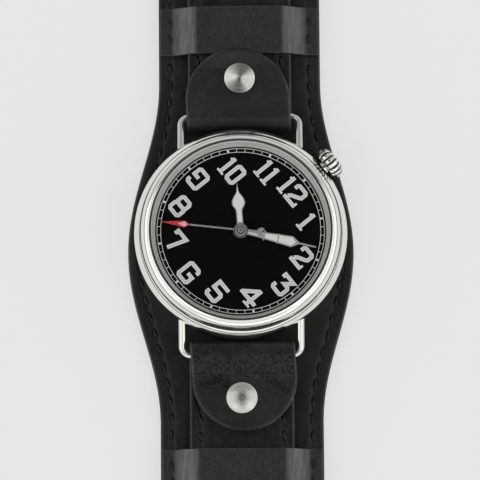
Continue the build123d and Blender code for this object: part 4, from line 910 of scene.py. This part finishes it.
def foot_stitch_paths(low, high):
    """Short stitch lines through both feet of a band, along the pad's stitch line."""
    inside = [p for p in pad_stitch_path if low.y + foot_stitch_margin < p.y < high.y - foot_stitch_margin]
    lift = low.z + band_thickness + stitch_radius * 0.3
    return [sorted([Vector((p.x, p.y, lift)) for p in inside if p.x * side > 0], key=lambda p: p.y)
            for side in (-1, 1)]


sew("band_stitches", [path for box in band_boxes.values() for path in foot_stitch_paths(*box)], "pad",
    "pad_leather", 12)

# %% [markdown]
# Each half of the strap is one long leather piece. It starts as the tab with its stud, lies flat
# on the lower layer, folds round the lug wire, and comes back under the tab as the layer that goes
# on under the bands to the buckle or the tail. So it is one ribbon: a cross section carried along
# a path in the side view, with a width that changes along it.

# %% Draw the path that a strap is carried along
wire_y = 23.1 * mm
wire_z = 5.1 * mm
fold_middle = 1.85 * mm
fold_steps = 26
tab_bend_y = 33.3 * mm
tab_flat_y = 27.3 * mm
settle_length = 2 * mm
path_spacing = 0.45 * mm


def side_path(tab_end, tip_rise, ramp, end_floor, leg_end):
    """The middle line of a strap, seen from the side, from the tab's tip to the far end."""
    tab_middle = strap_top + strap_thickness / 2
    corners = [(tab_end, tab_middle + tip_rise), (tab_flat_y, tab_middle), (wire_y, wire_z + fold_middle)]
    if tip_rise:
        corners.insert(1, (tab_bend_y, tab_middle))
    corners = [Vector(corner) for corner in corners]
    line = corners[:1]
    for a, b in zip(corners, corners[1:]):
        steps = max(2, round((b - a).length / path_spacing))
        line += [a.lerp(b, i / steps) for i in range(1, steps + 1)]
    wire = Vector((wire_y, wire_z))
    turns = (pi / 2 + pi * i / fold_steps for i in range(1, fold_steps + 1))
    line += [wire + on_circle(turn) * fold_middle for turn in turns]
    start = line[-1].x
    leg_top = wire_z - fold_middle
    leg_low = strap_floor + strap_thickness / 2
    steps = round((leg_end - start) / (path_spacing * 2))
    for i in range(1, steps + 1):
        reach = start + (leg_end - start) * i / steps
        drop = smoothstep(reach, *ramp)
        settled = leg_top + (leg_low - leg_top) * smoothstep(reach, start, start + settle_length)
        line.append(Vector((reach, settled * (1 - drop) + (end_floor + strap_thickness / 2) * drop)))
    return line


# %% [markdown]
# Leather doesn't bend at a point, so each point of a path is drawn a little towards its
# neighbours, several times over, before a strap is made along it. Past the pad's ends both halves
# come down. The tail lies on the table, and the other half stays a little higher, because the
# keepers pass under it.

# %% Set the paths of the two straps
buckle_bar_y = 98.1 * mm
tail_end_y = 143.1 * mm


def soften(line, rounds=6):
    """Rounds the corners of a chain of points a little."""
    for _ in range(rounds):
        inner = [a * 0.25 + b * 0.5 + c * 0.25 for a, b, c in zip(line, line[1:], line[2:])]
        line = [line[0], *inner, line[-1]]
    return line


def fold_index(line):
    """The place in a chain where the strap starts to fold round the wire."""
    return next(i for i, p in enumerate(line) if p.x <= wire_y + 0.1 * mm)


buckle_path = side_path(tab_end=36.4 * mm, tip_rise=1.25 * mm, ramp=(61.4 * mm, 70.4 * mm),
                        end_floor=1.2 * mm, leg_end=buckle_bar_y - 1.0 * mm)
tail_path = side_path(tab_end=37.7 * mm, tip_rise=0.0, ramp=(69.0 * mm, 85.0 * mm), end_floor=0.0,
                      leg_end=tail_end_y)
print("paths have", len(buckle_path), "and", len(tail_path), "points")

# %% [markdown]
# The cross section is a flat strip with bevelled edges, and the bevel gets the burnished edge
# leather, whose paler colour is a painted highlight. Across the strip there are many points, so
# that the two grooves for the stitches can sink in where the strap is sewn. The lower half is the
# upper one turned round, with the grooves.

# %% Draw the strap's cross section
strap_low, strap_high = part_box("strap_buckle_side")
strap_half = (strap_high.x - strap_low.x) / 2
bevel = 0.38 * mm
strap_stitch_inset = 2.0 * mm
groove_half = 0.5 * mm
groove_floor_half = 0.22 * mm
groove_depth = 0.16 * mm
narrow_half = 5 * mm  # where a tip is narrower than this, bevel and grooves shrink with it


def strip_section(half, sink):
    """Points round the cross section as (across, up, 1 for an edge), with a sewing groove below."""
    narrow = min(1.0, half / narrow_half)
    groove = half - strap_stitch_inset * narrow
    grooves = [(groove + reach * narrow, up) for reach, up in
               ((groove_half, 0), (groove_floor_half, sink), (-groove_floor_half, sink), (-groove_half, 0))]
    half_row = grooves + [(grooves[-1][0] * (1 - i / 8), 0) for i in range(1, 8)]
    row = half_row + [(0, 0)] + [(-x, up) for x, up in reversed(half_row)]
    high = strap_thickness / 2
    inner = half - bevel * narrow
    round_x, round_z = half - bevel * narrow * 0.35, high - bevel * 0.3
    near = [(half, bevel - high, 1), (half, high - bevel, 1), (round_x, round_z, 1), (inner, high, 0)]
    far = [(-inner, high, 1), (-round_x, round_z, 1)]
    top = near + [(x, high, 0) for x, _ in row] + far
    under = near + [(x, high - up, 0) for x, up in row] + far
    return top + [(-x, -up, edge) for x, up, edge in under]


print("the cross section has", len(strip_section(strap_half, groove_depth)), "points")

# %% [markdown]
# The tabs and the tail end round. Near such a tip the path gets more points, the strip narrows as
# the round asks, and the leather's faces bend down towards the rim, so the bevel runs round it.

# %% Shape the round tips
tip_steps = [0.01, 0.05, 0.12, 0.22, 0.35, 0.52, 0.74]  # mm
tip_bluntness = 0.0004


def fill_ends(line):
    """Adds closely spaced points near both ends of a chain."""
    for _ in range(2):
        length = (line[1] - line[0]).length
        extra = [line[0].lerp(line[1], step * mm / length) for step in tip_steps if step * mm < length * 0.95]
        line = [line[0], *extra, *line[1:]][::-1]
    return line


def tip_drop(travelled, across, full_half, tip_length):
    """How far the leather's face is bevelled down near a round tip."""
    if travelled >= tip_length:
        return 0.0
    inside = (1 - hypot(1 - travelled / tip_length, across / full_half)) * tip_length
    if inside >= bevel:
        return 0.0
    return bevel * (1 - sqrt(max(0.0, 1 - (1 - max(0.0, inside) / bevel) ** 2)))


def tip_half_width(distance, full_half, tip_length):
    """The most that a round end lets the half width be at a distance from its tip."""
    if distance >= tip_length:
        return inf
    share = 1 - distance / tip_length
    return full_half * sqrt(max(tip_bluntness, 1 - share * share))


# %% [markdown]
# Now the section is carried along the path: at each point it stands square to the way the path
# runs. The tabs sit a little off the middle, as in the photo, and the grooves start past the fold.

# %% Make the straps
strap_end_half = 9.0 * mm
taper = (52.0 * mm, 72.0 * mm)
tab_tip_length = 10 * mm
shift_fade = (10 * mm, 19 * mm)
groove_start = (26, 34)  # points after the fold begins
groove_stop = (11.5 * mm, 9.5 * mm)  # before a round end
fold_leather_rows = 22


def leg_half_width(reach):
    """Half the strap's width, which tapers towards the buckle and the tail."""
    return strap_half + (strap_end_half - strap_half) * smoothstep(reach, *taper)


def make_strap(end, side, path, end_tip_length, shift, fold_leather):
    """Carries the strip along its path. Side is +1 towards the buckle and -1 towards the tail."""
    line = fill_ends(soften(path))
    total = sum((b - a).length for a, b in zip(line, line[1:]))
    fold_at = fold_index(line)
    rings = []
    travelled = 0.0
    for i, place in enumerate(line):
        if i:
            travelled += (place - line[i - 1]).length
        left = total - travelled
        along = (line[min(i + 1, len(line) - 1)] - line[max(i - 1, 0)]).normalized()
        half = min(leg_half_width(place.x) if i > fold_at else strap_half,
                   tip_half_width(travelled, strap_half, tab_tip_length),
                   tip_half_width(left, strap_end_half, end_tip_length))
        offset = shift * (1 - smoothstep(travelled, *shift_fade))
        sink = groove_depth * smoothstep(i, *(fold_at + step for step in groove_start))
        if end_tip_length > strap_thickness:
            sink *= 1 - smoothstep(left, *groove_stop)
        section = strip_section(half, sink)
        ring = []
        for across, up, _ in section:
            limit = strap_thickness / 2 - max(tip_drop(travelled, across, strap_half, tab_tip_length),
                                              tip_drop(left, across, strap_end_half, end_tip_length))
            up = max(-limit, min(limit, up))
            ring.append((across * side + offset, (place.x + along.y * up) * side, place.y - along.x * up))
        rings.append(ring)
    shell = Shell().join(rings, lambda r, k: section[k][2] or (2 if r < fold_at + fold_leather_rows else 0),
                         ends=2, end_tone=1)
    return shell.piece(f"strap_{end}_leather", [strap_leather, edge_highlight_leather, fold_leather], "watch",
                       "strap_leather", f"strap_{end}")


buckle_strap = make_strap("buckle_side", 1, buckle_path, end_tip_length=0.4 * mm, shift=-0.4 * mm,
                          fold_leather=tab_leather)
tail_strap = make_strap("tail_side", -1, tail_path, end_tip_length=9 * mm, shift=0.55 * mm,
                        fold_leather=creased_tab_leather)

# %% [markdown]
# The tail has seven punched holes, and the other end a slot for the buckle's tongue. A punch cuts
# straight through, so here upright prisms are taken away from the strap with a Boolean, and the
# cut walls get the edge leather.

# %% Punch the holes and the slot
hole_count = 7
hole_radius = 0.9 * mm
hole_pitch = 7.0 * mm
first_hole_y = tail_end_y - 24.0 * mm
hole_corners = 28
slot_half = 1.3 * mm
slot_start = 3.4 * mm
slot_overrun = 3 * mm
cutter_low, cutter_high = -2 * mm, 8 * mm


def punch(piece, outline):
    """Cuts a hole with a flat outline through a piece."""
    rings = [[(p.x, p.y, z) for p in outline] for z in (cutter_low, cutter_high)]
    cutter = new_object("cutter", Shell().join(rings, ends=2).mesh("cutter", [edge_highlight_leather], False))
    cut = piece.modifiers.new("punch", "BOOLEAN")
    cut.operation = "DIFFERENCE"
    cut.solver = "EXACT"
    cut.material_mode = "TRANSFER"
    cut.object = cutter
    bpy.context.view_layer.update()
    whole = piece.evaluated_get(bpy.context.evaluated_depsgraph_get())
    cut_mesh = bpy.data.meshes.new_from_object(whole)
    piece.modifiers.clear()
    piece.data = cut_mesh
    bpy.data.objects.remove(cutter)


for i in range(hole_count):
    middle = Vector((0, hole_pitch * i - first_hole_y))
    punch(tail_strap, [middle + p for p in circle(hole_radius, hole_corners)])
slot_middle = Vector((0, buckle_bar_y - slot_start + slot_half))
slot_mouth = buckle_bar_y + slot_overrun
slot_line = [slot_middle - on_circle(pi * k / 10) * slot_half for k in range(11)]
punch(buckle_strap, slot_line + [Vector((slot_half, slot_mouth)), Vector((-slot_half, slot_mouth))])
print("punched strap faces", len(buckle_strap.data.polygons) + len(tail_strap.data.polygons))

# %% [markdown]
# At the buckle the strap's end wraps round the bar, in two short sleeves with the tongue between
# them. Each sleeve is a small tube with rounded ends, turned round the bar's line.

# %% Wrap the strap's end round the bar
eye_radius = 1.9 * mm
eye_bore = 0.8 * mm
eye_round = 0.25 * mm
bar_low, bar_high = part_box("buckle_bar")
bar_middle = (bar_low + bar_high) / 2


def make_sleeve(side, start, end):
    near = [(0, eye_bore), (0, eye_radius - eye_round), (eye_round * 0.3, eye_radius - eye_round * 0.3),
            (eye_round, eye_radius)]
    rows = [(start + x, radius) for x, radius in near] + [(end - x, radius) for x, radius in reversed(near)]
    rings = [[(x, bar_middle.y + p.x, bar_middle.z + p.y) for p in circle(radius, 40)] for x, radius in rows]
    shell = Shell().join(rings, lambda r, k: r != len(near) - 1, looped=True)
    shell.piece(f"strap_eye_{side}", [strap_leather, edge_highlight_leather], "watch", "strap_leather",
                "strap_buckle_side")


make_sleeve("left", -strap_end_half, -slot_half)
make_sleeve("right", slot_half, strap_end_half)

# %% [markdown]
# The strap's two layers are sewn together two millimetres inside each edge. The rows start under
# the tabs and run to the ends, and where the strap bends down to the table, they follow it.

# %% Sew the straps
rows_after_fold = 20


def strap_rows(path, side, from_reach, to_reach):
    """The two stitch lines on top of a strap's long layer."""
    line = soften(path)
    rise = strap_thickness / 2 - groove_depth + stitch_radius * 0.45
    rows = [[], []]
    for i in range(fold_index(line) + rows_after_fold, len(line) - 1):
        place = line[i]
        if from_reach < place.x < to_reach:
            along = (line[i + 1] - line[i - 1]).normalized()
            top = place + Vector((-along.y, along.x)) * rise
            across = leg_half_width(place.x) - strap_stitch_inset
            rows[0].append(Vector((across, top.x * side, top.y)))
            rows[1].append(Vector((-across, top.x * side, top.y)))
    return rows


sew("strap_stitches_buckle_side", strap_rows(buckle_path, 1, 29 * mm, 94 * mm), "watch", "strap_leather", 31)
sew("strap_stitches_tail_side", strap_rows(tail_path, -1, 30 * mm, 133 * mm), "watch", "strap_leather", 32)

# %% [markdown]
# Two loops hold the strap's loose end by the buckle. One is sewn in place and one slides. Each is a
# narrow leather band wrapped round the strap, with round corners and bevelled edges, made by
# carrying a small section round a rounded rectangle.

# %% Make the keepers
keeper_wall = 1.0 * mm
keeper_round = 0.28 * mm
keeper_step = 0.1 * mm
keeper_corners = (1.5 * mm, 0.6 * mm)  # outside and inside


def rounded_loop(half_wide, low, high, radius, steps=7):
    """Points of a rounded rectangle in the plane across the strap."""
    middle = Vector((0, (low + high) / 2))
    inner = Vector((half_wide - radius, (high - low) / 2 - radius))
    points = []
    for quarter, (sx, sz) in enumerate([(1, 1), (-1, 1), (-1, -1), (1, -1)]):
        for i in range(steps + 1):
            out = on_circle(pi / 2 * (quarter + i / steps)) * radius
            points.append(middle + Vector((sx * inner.x, sz * inner.y)) + out)
    return points


def make_keeper(node_name, body):
    low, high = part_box(node_name)
    half = (high.x - low.x) / 2
    length = high.y - low.y
    outer = rounded_loop(half, low.z, high.z, keeper_corners[0])
    inner = rounded_loop(half - keeper_wall, low.z + keeper_wall, high.z - keeper_wall, keeper_corners[1])
    near = [(0, keeper_round), (keeper_step, keeper_round * 0.3), (keeper_round, 0)]
    rows = near + [(length * share, 0) for share in (0.25, 0.5, 0.75)]
    rows += [(length - y, sink) for y, sink in reversed(near)]
    middle = Vector((0, (low.z + high.z) / 2))
    rings = []
    for loop, reach, order in ((outer, -1.0, rows), (inner, 0.5, rows[::-1])):
        for y, sink in order:
            moved = (p + (p - middle).normalized() * sink * reach for p in loop)
            rings.append([(p.x, low.y + y, p.y) for p in moved])
    shell = Shell().join(rings, lambda r, k: not 2 <= r % len(rows) < len(rows) - 2, looped=True)
    shell.piece(f"{node_name}_leather", [strap_leather, edge_highlight_leather], body, "strap_leather", node_name)


make_keeper("fixed_keeper", "watch")
make_keeper("free_keeper", "free_keeper")

# %% [markdown]
# Where the bezel meets the case there is a fine gap, and a thin dark ring laid in it is its painted
# shadow. Another dark ring lies on the joint inside the bezel's lip, over the black gasket. Each is a
# thin ring of a round section, half sunk in.

# %% Fill the seams


def make_seam(name, radius, height, thick_half):
    rings = [[(*(out * (radius + bend.x)), height + bend.y) for bend in circle(thick_half, 10)]
             for out in circle(1.0, 200)]
    Shell().join(rings, looped=True).piece(name, [seal_rubber], "watch", "seal_rubber")


# The dark ring at the bezel's foot is a painted shadow in the gap.
low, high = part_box("bezel")
make_seam("bezel_seam_shadow", (high.x - low.x) / 2 + 0.02 * mm, low.z, 0.15 * mm)
low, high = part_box("crystal_gasket")
make_seam("crystal_seam", (high.x - low.x) / 2 - 0.08 * mm, high.z - 0.03 * mm, 0.13 * mm)

# %% [markdown]
# The dial's figures are bold, with square shoulders, a pale outline and a greyer filling. A type
# file could not be read here, so each digit is drawn as a few strokes: a chain of points that a
# broad pen of constant width follows, with sharp corners. All sizes are in hundredths of a digit's
# height. A six turned round makes a nine.

# %% Draw the digits as strokes
pen_width = 17.8
thin_pen = 0.55
plain_width = 77
digit_width = {"0": 60, "1": 42, "4": 96}
digit_strokes = {
    "0": [("closed", [(9, 16), (16, 9), (44, 9), (51, 16), (51, 84), (44, 91), (16, 91), (9, 84)])],
    "1": [("open", [(21, 2), (21, 98)]), ("thin", [(2, 5), (40, 5)]), ("thin", [(21, 92), (5, 82)])],
    "2": [("open", [(11, 68), (11, 84), (18, 91), (59, 91), (66, 84), (66, 60), (57, 52), (26, 34),
                    (15, 20)]),
          ("open", [(2, 9), (76, 9)]), ("thin", [(71, 8), (71, 28)])],
    "3": [("open", [(9, 74), (9, 91), (66, 91), (38, 57), (61, 57), (68, 50), (68, 16), (61, 9), (16, 9),
                    (9, 16), (9, 32)])],
    "4": [("open", [(66, 2), (66, 98)]), ("open", [(64, 92), (9, 33)]), ("open", [(0, 31), (96, 31)]),
          ("thin", [(46, 5), (86, 5)]), ("thin", [(93, 24), (93, 40)])],
    "5": [("open", [(74, 91), (12, 91), (12, 55), (61, 55), (68, 48), (68, 16), (61, 9), (16, 9), (9, 16),
                    (9, 32)])],
    "6": [("open", [(68, 71), (68, 84), (61, 91), (16, 91), (9, 84), (9, 16), (16, 9), (61, 9), (68, 16),
                    (68, 46), (38, 46)])],
    "7": [("open", [(9, 72), (9, 91), (66, 91), (36, 2)])],
    "8": [("closed", [(9, 17), (17, 9), (60, 9), (68, 17), (68, 44), (60, 52), (17, 52), (9, 44)]),
          ("closed", [(12, 60), (20, 52), (57, 52), (65, 60), (65, 83), (57, 91), (20, 91), (12, 83)])],
}
digit_strokes["9"] = [(kind, [(plain_width - x, 100 - y) for x, y in chain])
                      for kind, chain in digit_strokes["6"]]
print("digits drawn:", " ".join(sorted(digit_strokes)))

# %% [markdown]
# A stroke becomes a ribbon: at each point the two sides are pushed out along the corner's
# bisector, so the pen's width stays constant round the corner. The ribbon gets a top and low
# walls, because the paint stands a few hundredths of a millimetre above the lacquer.

# %% Make the ribbon helper
sharpest_corner = 0.45
paint_floor = dial_top + 0.001 * mm


def ribbon_sides(chain, width, closed):
    """The left and right side of a stroke, mitred at its corners."""
    left, right = [], []
    count = len(chain)
    for i, point in enumerate(chain):
        ways = []
        if closed or i:
            ways.append((point - chain[i - 1]).normalized())
        if closed or i < count - 1:
            ways.append((chain[(i + 1) % count] - point).normalized())
        normals = [Vector((-way.y, way.x)) for way in ways]
        normal = sum(normals, Vector((0, 0))).normalized()
        push = normal * width / 2 / max(sharpest_corner, normal.dot(normals[0]))
        left.append(point + push)
        right.append(point - push)
    return left, right


def add_ribbon(shell, chain, width, closed, high):
    """Adds a raised ribbon along a flat chain of points to a shell."""
    left, right = ribbon_sides(chain, width, closed)
    rings = [[(*a, high), (*b, high), (*b, paint_floor), (*a, paint_floor)] for a, b in zip(left, right)]
    shell.join(rings, looped=closed, ends=0 if closed else 2)


# %% [markdown]
# The dial sits turned in the case, so that its twelve is by the crown, and the figures all stand
# upright with the dial instead of pointing at its centre. The strokes of a figure are laid out side
# by side round its middle, and turned with the dial.

# %% Lay out the figures
dial_turn = radians(51.5)
figure_height = 4.15 * mm
figure_gap = 6
figure_unit = figure_height / 100
figure_places = {  # clock angle from the strap's upper end, distance from the centre in mm
    "12": (52.7, 12.53), "1": (82.0, 12.68), "2": (114.0, 12.73), "3": (142.7, 13.16), "4": (171.4, 12.49),
    "5": (201.7, 12.54), "6": (231.3, 12.76), "7": (261.4, 12.56), "8": (293.1, 12.52), "9": (321.3, 12.96),
    "10": (352.5, 11.74), "11": (24.3, 12.47),
}


def clock_way(turn):
    """The direction of a clockwise angle from the strap's upper end."""
    return Vector((sin(turn), cos(turn)))


def figure_chains(text):
    """The strokes of a figure, centred on the origin, in the dial's plane and in metres."""
    up = clock_way(dial_turn)
    right = Vector((up.y, -up.x))
    widths = [digit_width.get(character, plain_width) for character in text]
    start = -(sum(widths) + figure_gap * (len(text) - 1)) / 2
    chains = []
    for character, width in zip(text, widths):
        for kind, chain in digit_strokes[character]:
            chains.append((kind, [(right * (start + x) + up * (y - 50)) * figure_unit for x, y in chain]))
        start += width + figure_gap
    return chains


print("figures:", " ".join(figure_places))

# %% [markdown]
# The paint is matt. The pale outline is one layer, and the greyer filling lies on it a little higher,
# drawn with a narrower pen whose strokes stop short. Each stroke of a figure is a hair higher than
# the one before, so that no two faces lie in one plane.

# %% Paint the figures
paint_height = 0.03 * mm
filling_height = 0.045 * mm
filling_share = 0.6
stroke_lift = 0.0015 * mm
thinnest_stroke = 0.05 * mm


def paint(name, tone):
    """Matt printed paint with a slightly grainy surface."""
    return grained(name, shade(tone, 0.86), tone, 0.16 * mm, (0.35, 0.65), (0.6, 0.6), (0.01 * mm, 0.4),
                   specular=0.2)


def paint_figures(name, material, share, height):
    """All figures as one piece, drawn with a share of the pen's width."""
    shell = Shell()
    pen = pen_width * figure_unit
    trim = pen * (1 - share) / 2
    for text, (angle, distance) in figure_places.items():
        middle = clock_way(radians(angle)) * distance * mm
        for stroke, (kind, chain) in enumerate(figure_chains(text)):
            if kind != "closed":
                first = (chain[1] - chain[0]).normalized() * trim
                last = (chain[-2] - chain[-1]).normalized() * trim
                chain = [chain[0] + first, *chain[1:-1], chain[-1] + last]
            width = pen * (thin_pen if kind == "thin" else 1.0) - 2 * trim
            if width > thinnest_stroke:
                add_ribbon(shell, [p + middle for p in chain], width, kind == "closed",
                           dial_top + height + stroke * stroke_lift)
    shell.piece(name, [material], "watch", "lume", smooth=False)


figure_outline = paint("figure_outline_paint", (0.95, 0.95, 0.93))
paint_figures("dial_figures", figure_outline, 1.0, paint_height)
paint_figures("dial_figure_fillings", paint("figure_filling_paint", (0.74, 0.74, 0.73)), filling_share,
              filling_height)

# %% [markdown]
# The minute track is two fine circles joined by sixty fine ticks, like a railway line. Every fifth
# tick is a solid block. Circles and ticks are ribbons too.

# %% Print the minute track
track_outer, track_inner = 15.95 * mm, 15.25 * mm
track_line = 0.1 * mm
track_top = dial_top + 0.02 * mm
track_steps = 240
block_width = 0.42 * mm
block_overlap = 0.05 * mm


def print_track():
    shell = Shell()
    for radius in (track_outer, track_inner):
        ring = [clock_way(2 * pi * i / track_steps) * radius for i in range(track_steps)]
        add_ribbon(shell, ring, track_line, True, track_top)
    for minute in range(60):
        out = clock_way(dial_turn + 2 * pi * minute / 60)
        overlap, width = (block_overlap, block_width) if minute % 5 == 0 else (0.0, track_line)
        chain = [out * (track_inner - overlap), out * (track_outer + overlap)]
        add_ribbon(shell, chain, width, False, track_top)
    shell.piece("dial_minute_track", [figure_outline], "watch", "lume", smooth=False)


print_track()

# %% [markdown]
# The dial is black lacquer with so little gloss that it stays black beside the steel. The hands
# are thin steel with windows full of white paint. The seconds hand is steel too, but its arrow is
# painted red. It is one mesh, so its colour changes with the distance from the hand's centre:
# turned rings on the hub, then plain steel, and red paint near the tip.

# %% Dress the dial and the hands
hub_reach = 1.45 * mm
hub_ring_pitch = 0.55 * mm
red_reach = 9.85 * mm
color_fade = 0.05 * mm


def hand_steel(name, red_from=None):
    finish = Finish(name, (0.36, 0.36, 0.37), 0.4)
    reach = finish.reach(finish.place((1, 1, 0)))
    rings = finish.math("SINE", finish.spread(reach, 0.0, 2 * pi / hub_ring_pitch))
    on_hub = finish.spread(reach, 1.0, 0.0, hub_reach, hub_reach + color_fade)
    groove = finish.math("MULTIPLY", finish.spread(rings, 0.0, 1.0, -0.2, 0.6), on_hub)
    tone = finish.blend(groove, (0.4, 0.4, 0.4), (0.06, 0.06, 0.055))
    if red_from:
        painted = finish.spread(reach, 0.0, 1.0, red_from, red_from + color_fade)
        tone = finish.mix(painted, tone, (0.62, 0.035, 0.05))
        finish.set("Metallic", finish.spread(painted, 0.5, 0.0))
    finish.set("Base Color", tone)
    finish.bump(finish.noise(0.05 * mm), 0.003 * mm, 0.3)
    return finish.material


dial_lacquer = grained("dial_black_lacquer", (0.002, 0.002, 0.0021), (0.0032, 0.0032, 0.0033), 0.3 * mm,
                       (0.4, 0.7), (0.5, 0.5), (0.004 * mm, 0.2), specular=0.05, detail=4.0)
dress(dial_lacquer, "dial")
dress(hand_steel("turned_hand_steel"), "hour_hand", "minute_hand")
dress(hand_steel("red_tipped_steel", red_reach), "second_hand")
dress(paint("white_hand_paint", (0.9, 0.9, 0.87)), "hour_hand_lume", "minute_hand_lume")
dress(paint("pink_hand_paint", (0.85, 0.55, 0.57)), "second_hand_lume")
print("hands dressed")

# %% [markdown]
# Every node of the model should have a finish, so the last cell lists any node that has none yet.

# %% Check that nothing was missed, and finish
replaced = {"pad_top", "pad_lining", "pad_band_top", "pad_band_bottom", "strap_buckle_side",
            "strap_tail_side", "fixed_keeper", "free_keeper"}
print("nodes with no finish yet:", sorted(set(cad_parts) - dressed - replaced))
